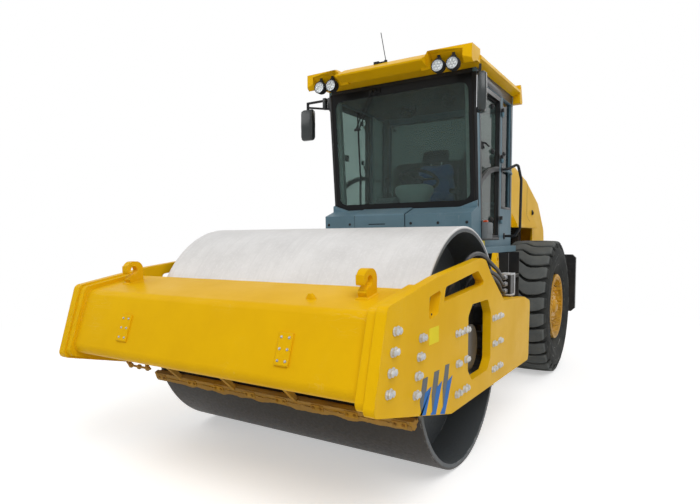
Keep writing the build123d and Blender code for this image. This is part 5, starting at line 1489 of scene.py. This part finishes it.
def makeCabLining():
    lining = addBlock((-0.8, -0.685, 2.905), (0.262, 0.685, 2.985), 0.02)
    duct = addStack(-0.25, -0.4, [(2.85, 0.3, 0.15, 6), (2.862, 0.33, 0.18, 6), (2.915, 0.345, 0.19, 6)],
        32)
    vents = [addStack(-0.45 + 0.2 * n, -0.4, [(2.838, 0.03, 2), (2.852, 0.038, 2)], 20) for n in range(3)]
    visor = addBlock((0.205, -0.31, 2.775), (0.216, 0.31, 2.915), 0.004)
    single("headliner", [lining, duct, visor, *vents], "root", liningDark)
    single("cabFans", [makeFan(0.13, 0.02, 2.76), makeFan(0.13, 0.43, 2.8)], "root", blackPlastic)
    posts = []
    for y in (-0.662, 0.662):
        posts.append(addBlock((-0.845, y - 0.024, 1.56), (-0.77, y + 0.024, 2.905), 0.01))
    shelf = addBlock((-0.845, -0.66, 1.82), (-0.752, 0.66, 1.852), 0.008)
    single("rearLining", posts + [shelf], "root", greyPlastic)
    mat = addBlock((-0.8, -0.64, 1.489), (0.12, 0.64, 1.497), 0.003)
    insetFaces(mat, lambda c, n: n.z > 0.9, 0.02, -0.002)
    ribs = [addBlock((-0.24 + 0.02 * n, -0.33, 1.494), (-0.23 + 0.02 * n, 0.33, 1.4995), 0.001)
        for n in range(15)]
    single("floorMat", [mat, *ribs], "root", rubber)
    pedals = []
    for n, y in enumerate((-0.28, 0.26)):
        pedals.append(addBlock((0.03, y - 0.04, 1.545), (0.044, y + 0.04, 1.68), 0.006))
        pedals.append(addRod((0.044, y, 1.6), (0.11, y, 1.5), 0.01, 12))
    single("pedals", pedals, "root", blackPaint)


makeSeat()
makeDash()
makeWheelDetails()
makeConsole()
makeCabLining()
print("stage: cab inside made")


# ---- small helpers for fittings ----
def blockSet(rows):
    # rows of low corner, high corner and edge rounding
    return [addBlock(row[0:3], row[3:6], row[6]) for row in rows]


def rodSet(rows):
    # rows of start, end, radius, sides and edge rounding
    return [addRod(*row) for row in rows]


def drape(node, corner, across, up, way, lift, thick, cuts=(10, 4)):
    # a sheet that lies on a carried-over surface, lifted a little off it
    sheet = addSlab(*cuts)
    corner, across, up = Vector(corner), Vector(across), Vector(up)
    for point in sheet.data.vertices:
        u, v, w = point.co
        spot, normal = surface(node, corner + across * (u + 1) / 2 + up * (v + 1) / 2, way)
        point.co = spot + normal * (lift + thick * w)
    return outward(sheet)


# ---- doors, side glass, mirrors, roof lamps ----
doorLook = {"faceY": 0.74, "glassY": 0.7, "seal": ((0.15, 1.56), (0.226, 2.838), (-0.415, 2.838),
    (-0.415, 1.56)), "pads": ((-0.27, 2.78), (-0.297, 2.357), (-0.3, 1.7)), "padR": 0.026}


def padAt(x, y, z, r, reach):
    # round clamp on the glass: dished washer and screwed cap
    return addTurned([(0.0005, reach), (r * 0.42, reach), (r * 0.5, reach * 0.7), (r * 0.82, reach * 0.6),
        (r, reach * 0.25), (r, -0.001), (0.0005, -0.001)], (x, y, z), "y", 28)


def makeDoors():
    look, y = doorLook, doorLook["faceY"]
    corners = look["seal"]
    seals = []
    for (x0, z0), (x1, z1) in zip(corners, corners[1:] + corners[:1]):
        seals.append(addRod((x0, y - 0.036, z0), (x1, y - 0.036, z1), 0.008, 10))
    sidePair("doorSeal", seals, doorPair, rubber)
    pads = [padAt(x, look["glassY"], z, look["padR"], 0.024) for x, z in look["pads"]]
    base = addBlock((0.02, 0.6995, 2.335), (0.09, 0.722, 2.4), 0.006)
    grip = addTube([(0.078, 0.716, 2.385), (0.078, 0.744, 2.385), (0.06, 0.752, 2.375), (0.0, 0.752, 2.368),
        (-0.03, 0.748, 2.366)], 0.0085)
    lock = addRod((0.045, 0.72, 2.35), (0.045, 0.729, 2.35), 0.011, 18, 0.002)
    sidePair("doorFittings", pads + [base, grip, lock], doorPair, blackPlastic)
    strips = [addPlate([(0.1655, y, 1.53), (0.1745, y, 1.53), (0.256, y, 2.85), (0.247, y, 2.85)],
        (0, 0.0015, 0)), addBlock((-0.436, y - 0.0005, 1.53), (-0.426, y + 0.0015, 2.86), 0.0005)]
    sidePair("doorStrips", strips, doorPair, greyPaint, 0)
    box = addBlock((-0.04, 0.7395, 1.516), (0.13, 0.792, 1.664), 0.008)
    tag = addBlock((-0.034, 0.7915, 1.56), (0.124, 0.7945, 1.656), 0.002)
    single("doorBox", [box, tag], "cab_door_left", greyPlastic)
    spot, normal = surface("cab_frame", (0.07, 3, 1.472), (0, -1, 0))
    single("sideTag", [layOn(addBlock((-0.038, -0.026, 0.0002), (0.038, 0.026, 0.0014), 0.0004), spot,
        normal)], "root", paleYellow, 0)
    single("doorBoxCap", [addBlock((0.07, 0.748, 1.6635), (0.122, 0.784, 1.682), 0.006)], "cab_door_left",
        orangeRed)
    # quarter window: black bands, pad and the grab rail that carries on the door's line
    rail = addTube([(-0.5, 0.742, 2.2), (-0.56, 0.75, 2.203), (-0.7, 0.75, 2.202), (-0.84, 0.75, 2.196),
        (-0.88, 0.742, 2.19)], 0.0115)
    sidePair("quarterRail", [rail], rootPair, greyPaint)
    bands = blockSet([(-0.52, 0.7385, 1.835, -0.5, 0.7415, 2.885, 0.0005),
        (-0.862, 0.7385, 1.835, -0.836, 0.7415, 2.885, 0.0005),
        (-0.862, 0.7385, 1.812, -0.5, 0.7415, 1.836, 0.0005)])
    bands.append(padAt(-0.66, 0.718, 2.372, 0.024, 0.02))
    sidePair("quarterTrim", bands, rootPair, blackPaint)
    # rear window: black edge all round and two clamps
    edge = bandAround("rearFrit", lambda u, v: Vector((-0.9085, u, v)), (-0.679, 1.872, 0.679, 2.878),
        (-0.64, 1.915, 0.64, 2.838), 0.05, (-0.0012, 0, 0))
    clamps = [addRod((-0.907, yy, z), (-0.922, yy, z), 0.022, 24, 0.004) for z in (1.96, 2.79)
        for yy in (-0.6, 0.6)]
    single("rearWindowTrim", [edge, *clamps], "root", fritBlack)
    wiperRear = [addRod((-0.915, 0.0, 1.88), (-0.928, 0.23, 2.25), 0.005, 10),
        addBlock((-0.93, 0.215, 2.02), (-0.918, 0.245, 2.48), 0.002)]
    single("rearWiper", wiperRear, "root", blackPlastic)


def mirrorShell(name, centre, angle, clampRows):
    # rounded shell around the head, and its glass let into the back face
    x, y = centre
    rings = [(2.552, x, y, 0.022, 0.058, 3), (2.564, x, y, 0.036, 0.07, 4), (2.7, x, y, 0.041, 0.075, 4.5),
        (2.85, x, y, 0.037, 0.072, 4.5), (2.866, x, y, 0.022, 0.06, 3)]
    shell = addLoft(rings, 36, name=name)
    glass = addBlock((x - 0.0425, y - 0.062, 2.58), (x - 0.0375, y + 0.062, 2.838), 0.002,
        name=name + "Glass")
    for piece in (shell, glass):
        piece.data.transform(turnAbout((x, y, 0), "Z", angle))
    single(name, [shell, *blockSet(clampRows)], "root", glossBlack, 50)
    finishPiece(glass, "root", mirrorGlass, 0)


lampLook = {"x": 0.6842, "r": 0.053, "z": 2.958, "y": (0.52, 0.646), "ribs": 4, "ribStep": 0.01, "leds": 6,
    "ledCircle": 0.026}


def makeRoofLamps():
    look = lampLook
    x, r, z = look["x"], look["r"], look["z"]
    rims, faces, chips, lenses = [], [], [], []
    for y in look["y"]:
        spot = (x, y, z)
        rims.append(addTurned([(r - 0.006, -0.002), (r + 0.001, -0.002), (r + 0.002, 0.005),
            (r - 0.002, 0.009), (r - 0.006, 0.007)], spot, "x", 40))
        for k in range(look["ribs"]):
            back = look["ribStep"] * k
            rims.append(addTurned([(r - 0.002, -0.018 - back), (r + 0.003, -0.018 - back),
                (r + 0.003, -0.014 - back), (r - 0.002, -0.014 - back)], spot, "x", 32))
        faces.append(addTurned([(0.0005, 0.0008), (r - 0.022, 0.0012), (r - 0.006, 0.0052),
            (r - 0.006, -0.001), (0.0005, -0.001)], spot, "x", 40))
        # a ring of lights and one in the middle
        for k in range(look["leds"] + 1):
            away, turn = look["ledCircle"] if k < look["leds"] else 0, k * math.tau / look["leds"]
            dot = (x + 0.002, y + away * math.cos(turn), z + away * math.sin(turn))
            chips.append(addTurned([(0.0003, 0.0035), (0.0055, 0.003), (0.0092, 0.0), (0.0003, -0.001)],
                dot, "x", 16))
        lenses.append(addRod((x + 0.0062, y, z), (x + 0.0078, y, z), r - 0.0065, 40, 0.0005))
        rims.append(addBlock((x - 0.044, y - 0.02, z + r - 0.004), (x - 0.016, y + 0.02, z + r + 0.016),
            0.003))
    sidePair("lampRims", rims, rootPair, blackPlastic)
    sidePair("lampDishes", faces, rootPair, lampReflector, 40)
    sidePair("lampLeds", chips, rootPair, ledWhite, 40)
    sidePair("lampLenses", lenses, rootPair, lampLens, 0)


makeDoors()
mirrorShell("mirrorRight", (0.305, -1.03), 0.0, [(0.284, -0.838, 2.842, 0.326, -0.802, 2.958, 0.004),
    (0.288, -0.782, 2.846, 0.322, -0.742, 2.954, 0.004)])
mirrorShell("mirrorLeft", (0.581, 0.86), math.radians(-72) + math.pi,
    [(0.3, 0.742, 2.84, 0.342, 0.79, 2.956, 0.004)])
makeRoofLamps()
print("stage: doors, mirrors and lamps made")


# ---- hood: seams, latches, rear bars and lamps, pipes ----
hoodLook = {"seamX": -2.02, "rear": (0.4, 1.5, 1.76),
    "latches": ((-1.14, 1.84), (-2.3, 1.84), (-2.64, 1.44)), "bars": 11, "barStep": 0.026, "tailY": 0.53,
    "latch": ((-0.02, -0.032, -0.001, 0.02, 0.032, 0.01, 0.004),
    (-0.012, -0.024, 0.008, 0.012, 0.014, 0.022, 0.004))}


def makeHood():
    seam = [drape("hood", (hoodLook["seamX"], 3, 1.72), (0.005, 0, 0), (0, 0, 0.515), (0, -1, 0), 0.0008,
        0.0008, (1, 24)), drape("hood", (hoodLook["seamX"], 0, 5), (0.005, 0, 0), (0, 0.585, 0), (0, 0, -1),
        0.001, 0.0008, (1, 12))]
    sidePair("hoodSeams", seam, hoodPair, fritBlack, 0)
    latches = []
    for x, z in hoodLook["latches"]:
        spot, normal = surface("hood", (x, 3, z), (0, -1, 0))
        for block in blockSet(hoodLook["latch"]):
            latches.append(layOn(block, spot, normal))
    sidePair("hoodLatches", latches, hoodPair, blackPlastic)
    half, z0, z1 = hoodLook["rear"]
    # a black sheet behind the bars: painted shade of the grille's openings
    single("rearGrille", [drape("hood", (-5, -half, z0), (0, 2 * half, 0), (0, 0, z1 - z0), (1, 0, 0),
        0.0005, 0.001)], "engine_hood", fritBlack, 0)
    bars = [drape("hood", (-5, -half - 0.01, z0 + hoodLook["barStep"] * n), (0, 2 * half + 0.02, 0),
        (0, 0, 0.011), (1, 0, 0), 0.001, 0.006, (6, 1)) for n in range(hoodLook["bars"])]
    bars += [drape("hood", (-5, y, z0 - 0.008), (0, 0.016, 0), (0, 0, z1 - z0 + 0.018), (1, 0, 0), 0.001,
        0.007, (1, 6)) for n, y in enumerate((-half - 0.012, -0.008, half - 0.004))]
    single("rearBars", bars, "engine_hood", yellow, 40)
    for word, material, z in (("tailRed", redLens, 1.545), ("tailAmber", amber, 1.6)):
        spot, normal = surface("hood", (-5, hoodLook["tailY"], z), (1, 0, 0))
        lens = layOn(addBlock((-0.048, -0.022, 0.004), (0.048, 0.022, 0.018), 0.005, 3), spot, normal)
        sidePair(word, [lens], hoodPair, material)
    spot, normal = surface("hood", (-5, hoodLook["tailY"], 1.572), (1, 0, 0))
    sidePair("tailBase", [layOn(addBlock((-0.056, -0.056, -0.001), (0.056, 0.056, 0.007), 0.004), spot,
        normal)], hoodPair, blackPlastic)
    # exhaust and the intake's cap stand on the hood's top
    top = surface("hood", (-1.28, 0.3, 5), (0, 0, -1))[0].z
    pipe = addTube([(-1.28, 0.3, top - 0.01), (-1.28, 0.3, top + 0.14), (-1.285, 0.3, top + 0.2),
        (-1.33, 0.3, top + 0.245), (-1.385, 0.3, top + 0.262)], 0.041, 3, 6)
    ring = addStack(-1.28, 0.3, [(top - 0.004, 0.068, 2), (top + 0.008, 0.068, 2), (top + 0.024, 0.05, 2),
        (top + 0.03, 0.042, 2)], 32)
    single("exhaust", [pipe, ring], "engine_hood", engineGrey)
    x, y = -1.22, -0.28
    top = surface("hood", (x, y, 5), (0, 0, -1))[0].z
    intake = addStack(x, y, [(top - 0.004, 0.06, 2), (top + 0.04, 0.056, 2), (top + 0.044, 0.098, 2),
        (top + 0.096, 0.1, 2), (top + 0.118, 0.078, 2), (top + 0.126, 0.03, 2)], 36)
    single("intakeCap", [intake], "engine_hood", blackPlastic, 40)


fanLook = {"blades": 7, "place": (-2.41, 0, 1.64), "ring": (-2.42, 0, 1.64), "hub": (-2.44, -2.34),
    "hubR": 0.055}
engineLook = {"filterX": (-1.52, -1.68, -1.84), "runners": 4,
    # height, radius and sides of the pulleys
    "pulleys": ((1.42, 0.105, 36), (1.72, 0.07, 32))}
radiatorLook = {"halfY": 0.36, "tankHalfY": 0.4, "fins": 15, "finStep": 0.026}


def makeEngineBay():
    # head cover, pulleys, filters, pipes and fan of the engine; fins and tanks of the radiator
    low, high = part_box("engine")
    parts = [addStack(-1.74, 0.04, [(high.z - 0.004, 0.3, 0.115, 6), (high.z + 0.042, 0.292, 0.105, 6),
        (high.z + 0.06, 0.262, 0.078, 5)], 36)]
    look, x0, y1 = engineLook, low.x, high.y
    filters = rodSet([((x, y1 + 0.055, 1.34), (x, y1 + 0.055, 1.55), 0.046, 28, 0.008)
        for x in look["filterX"]])
    filters += rodSet([((-1.6, -y1 - 0.02, 1.86), (-1.2, -y1 - 0.02, 1.86), 0.098, 36, 0.014)])
    parts += rodSet([((x0 - 0.045, 0, z), (x0 + 0.01, 0, z), r, sides, 0.008)
        for z, r, sides in look["pulleys"]])
    parts += rodSet([((x0 - 0.02, y1 - 0.02, 1.66), (x0 + 0.15, y1 - 0.02, 1.66), 0.072, 28, 0.01),
        ((-2.02, 0.335, 1.775), (-1.44, 0.335, 1.775), 0.034, 24, 0.006)])
    for n in range(look["runners"]):
        x = -1.98 + 0.16 * n
        parts.append(addTube([(x, 0.24, 1.82), (x, 0.3, 1.83), (-1.94 + 0.13 * n, 0.33, 1.78)], 0.022))
    single("engineDetails", parts, "root", zinc)
    single("engineFilters", filters, "root", greyPlastic)
    rods = [addTube(*route) for route in (
        ([(-1.98, 0.02, high.z - 0.02), (-2.2, 0.04, high.z + 0.03), (-2.42, 0.1, 1.9), (-2.54, 0.14, 1.84)],
            0.026),
        ([(-2.1, -0.2, 1.32), (-2.3, -0.24, 1.36), (-2.45, -0.2, 1.42), (-2.54, -0.18, 1.46)], 0.026),
        ([(-1.6, -0.29, 1.86), (-1.72, -0.27, 1.9), (-1.84, -0.18, 1.94), (-1.9, -0.06, 1.97)], 0.04))]
    single("engineHoses", rods, "root", rubber)
    blades = []
    for n in range(fanLook["blades"]):
        blade = addPlate([(-0.018, -0.03, 0.05), (0.01, 0.035, 0.05), (0.018, 0.055, 0.2),
            (-0.022, -0.05, 0.2)], (0.003, 0, 0))
        blade.data.transform(Matrix.Translation(fanLook["place"])
            @ Matrix.Rotation(n * math.tau / fanLook["blades"], 4, "X"))
        blades.append(blade)
    (hub0, hub1), height = fanLook["hub"], fanLook["place"][2]
    blades.append(addRod((hub0, 0, height), (hub1, 0, height), fanLook["hubR"], 28, 0.006))
    blades.append(addTurned([(0.212, -0.045), (0.222, -0.045), (0.222, 0.04), (0.212, 0.04)],
        fanLook["ring"], "x", 48))
    single("coolingFan", blades, "root", blackPlastic)
    low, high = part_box("radiator")
    half, wide, step = radiatorLook["halfY"], radiatorLook["tankHalfY"], radiatorLook["finStep"]
    fins = blockSet([(low.x - 0.004, -half, low.z + 0.07 + step * n, high.x + 0.004, half,
        low.z + 0.082 + step * n, 0) for n in range(radiatorLook["fins"])])
    edges = ((high.z - 0.05, high.z - 0.004), (low.z + 0.01, low.z + 0.055))
    fins += blockSet([(low.x - 0.008, -wide, z0, high.x + 0.008, wide, z1, 0.01) for z0, z1 in edges])
    fins.append(addRod((-2.61, 0.18, high.z - 0.004), (-2.61, 0.18, high.z + 0.026), 0.032, 24, 0.006))
    single("radiatorCore", fins, "root", blackPaint)


chassisLook = {
    # step tops; first nub and spacing along and across; half sizes of a nub; how far it stands out
    "steps": (0.62, 0.89, 1.16), "nubs": (9, 3), "first": (-0.57, 0.69), "spacing": (0.044, 0.075),
    "nubHalf": (0.014, 0.006), "nubOut": 0.005,
    "tankBands": (-0.72, -0.43), "pinX": -3.055, "railFeet": ((-0.5098, 2.2), (-0.6298, 1.54)),
}


def makeChassis():
    # treads of the steps, tank bands and caps, reflectors, tow pin, hose ends
    look, nubs = chassisLook, []
    (x0, y0), (stepX, stepY), (halfX, halfY) = look["first"], look["spacing"], look["nubHalf"]
    for top in look["steps"]:
        for row in range(look["nubs"][1]):
            for n in range(look["nubs"][0]):
                x, y = x0 + stepX * n, y0 + stepY * row
                nubs.append(addBlock((x - halfX, y - halfY, top - 0.001),
                    (x + halfX, y + halfY, top + look["nubOut"]), 0.002, 1))
        nubs.append(addBlock((-0.594, 0.884, top - 0.002), (-0.206, 0.902, top + 0.006), 0.003))
    sidePair("stepTreads", nubs, rootPair, engineGrey)
    bands = blockSet([(x, 0.585, 0.94, x + 0.045, 0.6245, 1.325, 0.002) for x in look["tankBands"]])
    bands.append(addTurned([(0.0005, 0.036), (0.034, 0.036), (0.04, 0.03), (0.042, 0.012), (0.05, 0.01),
        (0.05, -0.002), (0.0005, -0.002)], (-0.57, 0.62, 1.235), "y", 32))
    bands.append(addRod((-0.55, 0.47, 0.906), (-0.55, 0.47, 0.88), 0.018, 6, 0.003))
    sidePair("tankFittings", bands, rootPair, blackPaint)
    single("sightGlass", blockSet([(-0.34, -0.6255, 1.01, -0.318, -0.6185, 1.18, 0.003)]), "root", amber)
    plates = [(-2.4815, y, z) for y in (0.42, 0.56) for z in (0.7, 0.95, 1.2)]
    bolts("mudPlateBolts", [((x, s * y, z), (-1, 0, 0)) for x, y, z in plates for s in (1, -1)], smallBolt,
        "root", zinc)
    sidePair("mudReflector", blockSet([(-2.485, 1.02, 0.8, -2.4795, 1.08, 0.96, 0.002)]), rootPair, redLens)
    sidePair("weightReflector", blockSet([(-3.1098, 0.44, 1.18, -3.106, 0.56, 1.23, 0.001)]), rootPair,
        redLens)
    x = look["pinX"]
    pin = [addRod((x, 0, 0.585), (x, 0, 0.745), 0.0205, 24, 0.003),
        addTube([(x, -0.028, 0.742), (x, -0.026, 0.776), (x, 0.026, 0.776), (x, 0.028, 0.742)], 0.006)]
    single("towPin", pin, "root", zinc)
    rims = blockSet([(0.412, 1.018, 1.048, 0.548, 1.1065, 1.062, 0.002),
        (0.412, 1.018, 1.218, 0.548, 1.1065, 1.232, 0.002),
        (0.412, 1.1035, 1.048, 0.436, 1.107, 1.232, 0.001)])
    sidePair("clampRim", rims, framePair, zinc)
    foot = [(0.013, 0.012), (0.026, 0.01), (0.034, 0.004), (0.034, -0.001), (0.013, -0.001)]
    feet = [addTurned(foot, (x, 0.74, z), "y", 28) for x, z in look["railFeet"]]
    sidePair("railFeet", feet, rootPair, blackPaint)
    # a sleeve and a nut at each end of the drum's hoses
    for side, word in ((1, "Left"), (-1, "Right")):
        ends = []
        for which in ("upper", "middle", "lower"):
            spots = [Vector(p) for p in hosePlaces(which, side)]
            for a, b in ((spots[0], spots[1]), (spots[-1], spots[-2])):
                way = (b - a).normalized()
                ends += rodSet([(a + way * 0.022, a + way * 0.064, 0.0192, 24, 0.002),
                    (a - way * 0.001, a + way * 0.024, 0.0225, 6, 0.002)])
        single("hoseEnds" + word, ends, "front_frame", zinc, 30)


carrierLook = {"bolts": 8, "circle": 0.175, "boltY": 1.0295, "ringY": 1.029}
rodLook = {"x": 2.63, "z": 0.607, "collars": (-1.04, -0.95, -0.86), "stays": (-1.06, -0.872)}
glandLook = {"barrel": (-0.669774, 0.54, 0.8), "pinY": 0.28, "pinBack": 0.036, "reach": 0.568,
    "ports": (0.15, 0.5)}


def makeFrontFrameDetails():
    # bolts and rings of the drum carriers, lug and rod of the beam, glands of the steering rods
    look, r = carrierLook, carrierLook["circle"]
    places = [((drumX + r * math.cos(a), look["boltY"] * s, drumR + r * math.sin(a)), (0, s, 0))
        for s in (1, -1) for a in [k * math.tau / look["bolts"] + 0.2 for k in range(look["bolts"])]]
    bolts("carrierBolts", places, smallBolt, "front_frame", zinc)
    rings = [addTurned([(0.142, 0.012), (0.15, 0.014), (0.158, 0.012), (0.158, -0.001), (0.142, -0.001)],
        (drumX, look["ringY"], drumR), "y", 48)]
    sidePair("carrierRing", rings, framePair, blackPaint)
    spot, normal = surface("front_beam", (2.79, 0.64, 3), (0, 0, -1))
    lug = layOn(addStack(0, 0, [(-0.002, 0.03, 0.016, 4), (0.014, 0.026, 0.013, 3), (0.03, 0.012, 0.01, 2)],
        20), spot, normal, (1, 0, 0))
    x, z = rodLook["x"], rodLook["z"]
    rod = [addTube([(x, -1.09, 0.64), (x, -1.08, z), (x, -0.95, z), (x, -0.83, z)], 0.008)]
    rod += [addRod((x, y - 0.01, z), (x, y + 0.01, z), 0.018, 16, 0.004) for y in rodLook["collars"]]
    rod += blockSet([(x - 0.015, y, z, x + 0.015, y + 0.012, 0.7, 0.002) for y in rodLook["stays"]])
    single("beamLug", [lug], "front_frame", yellow)
    single("keepRod", rod, "front_frame", driedSoil)
    for side, word in ((1, "left"), (-1, "right")):
        x, y, z = glandLook["barrel"]
        barrel = Vector((x, side * y, z))
        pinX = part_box("steer_rod_" + word)[1].x - glandLook["pinBack"]
        way = (Vector((pinX, side * glandLook["pinY"], z)) - barrel).normalized()
        end = barrel + way * glandLook["reach"]
        gland = addRod(end - way * 0.03, end + way * 0.003, 0.056, 36, 0.004)
        ports = [addRod(barrel + way * d + Vector((0, 0, 0.045)), barrel + way * d + Vector((0, 0, 0.072)),
            0.016, 6, 0.002) for d in glandLook["ports"]]
        single("gland" + word.title(), [gland, *ports], "barrel_" + word, blackPaint)


makeHood()
makeEngineBay()
makeChassis()
makeFrontFrameDetails()
print("stage: hood, engine and chassis dressed")


# ---- floor, light and the end ----
studio = {"floorSize": 60.0, "floorZ": -0.001, "keyPower": 500.0, "fillPower": 200.0, "rimPower": 150.0,
    "world": 0.44, "paper": (0.84, 0.84, 0.84, 1), "lift": 0.46, "fadeFrom": 4.6, "fadeTo": 7.5}


def seenRays(tree):
    rays = tree.nodes.new("ShaderNodeLightPath")
    seen = mathNode(tree, "MAXIMUM", rays.outputs["Is Camera Ray"], rays.outputs["Is Glossy Ray"])
    return mathNode(tree, "MAXIMUM", seen, rays.outputs["Is Transmission Ray"])


def makePaper():
    # pale paper that keeps the shadow near the machine and runs out to white farther off
    paper, tree, shader = newMaterial("studioPaper")
    seen = seenRays(tree)
    setInputs(tree, shader, {"Roughness": 0.9, "Specular IOR Level": 0.0, "Base Color": studio["paper"],
        "Emission Color": (1, 1, 1, 1), "Emission Strength": mathNode(tree, "MULTIPLY", seen,
        studio["lift"])})
    place = addNode(tree, "ShaderNodeVectorMath",
        {0: tree.nodes.new("ShaderNodeTexCoord").outputs["Object"]}, operation="LENGTH").outputs["Value"]
    away = mathNode(tree, "MULTIPLY", remap(tree, place, studio["fadeFrom"], studio["fadeTo"]), seen)
    white = addNode(tree, "ShaderNodeEmission", {"Color": (1, 1, 1, 1), "Strength": 1.0})
    mixed = addNode(tree, "ShaderNodeMixShader", {0: away, 1: shader.outputs[0], 2: white.outputs[0]})
    tree.links.new(mixed.outputs[0], tree.nodes["Material Output"].inputs[0])
    return paper


def makeStudio():
    deselectAll()
    bpy.ops.mesh.primitive_grid_add(size=studio["floorSize"], x_subdivisions=24, y_subdivisions=24,
        location=(0, 0, studio["floorZ"]))
    floor = settle(bpy.context.object, "studioFloor")
    floor.data.materials.append(makePaper())
    world = bpy.data.worlds.new("studioWorld")
    bpy.context.scene.world = world
    world.use_nodes = True
    tree = world.node_tree
    tree.nodes.clear()
    soft = addNode(tree, "ShaderNodeBackground", {"Color": (1, 1, 1, 1), "Strength": studio["world"]})
    white = addNode(tree, "ShaderNodeBackground", {"Color": (1, 1, 1, 1), "Strength": 1.0})
    mixed = addNode(tree, "ShaderNodeMixShader",
        {0: seenRays(tree), 1: soft.outputs[0], 2: white.outputs[0]})
    out = tree.nodes.new("ShaderNodeOutputWorld")
    tree.links.new(mixed.outputs[0], out.inputs[0])


def addLamp(name, place, aim, size, power):
    light = bpy.data.lights.new(name, "AREA")
    light.shape, light.size, light.size_y, light.energy = "RECTANGLE", size[0], size[1], power
    lamp = bpy.data.objects.new(name, light)
    lamp.location = place
    lamp.rotation_euler = (Vector(aim) - Vector(place)).to_track_quat("-Z", "Y").to_euler()
    bpy.context.scene.collection.objects.link(lamp)


makeStudio()
addLamp("lampKey", (6.5, 5.0, 8.5), (0.3, 0.3, 1.0), (6.0, 6.0), studio["keyPower"])
addLamp("lampFill", (6.0, -7.0, 7.5), (0.5, -0.2, 1.0), (6.0, 5.0), studio["fillPower"])
addLamp("lampRim", (-7.0, 3.0, 7.0), (-0.5, 0, 1.4), (5.0, 5.0), studio["rimPower"])
scene = bpy.context.scene
scene.view_settings.view_transform = "Standard"
print("stage: studio made")
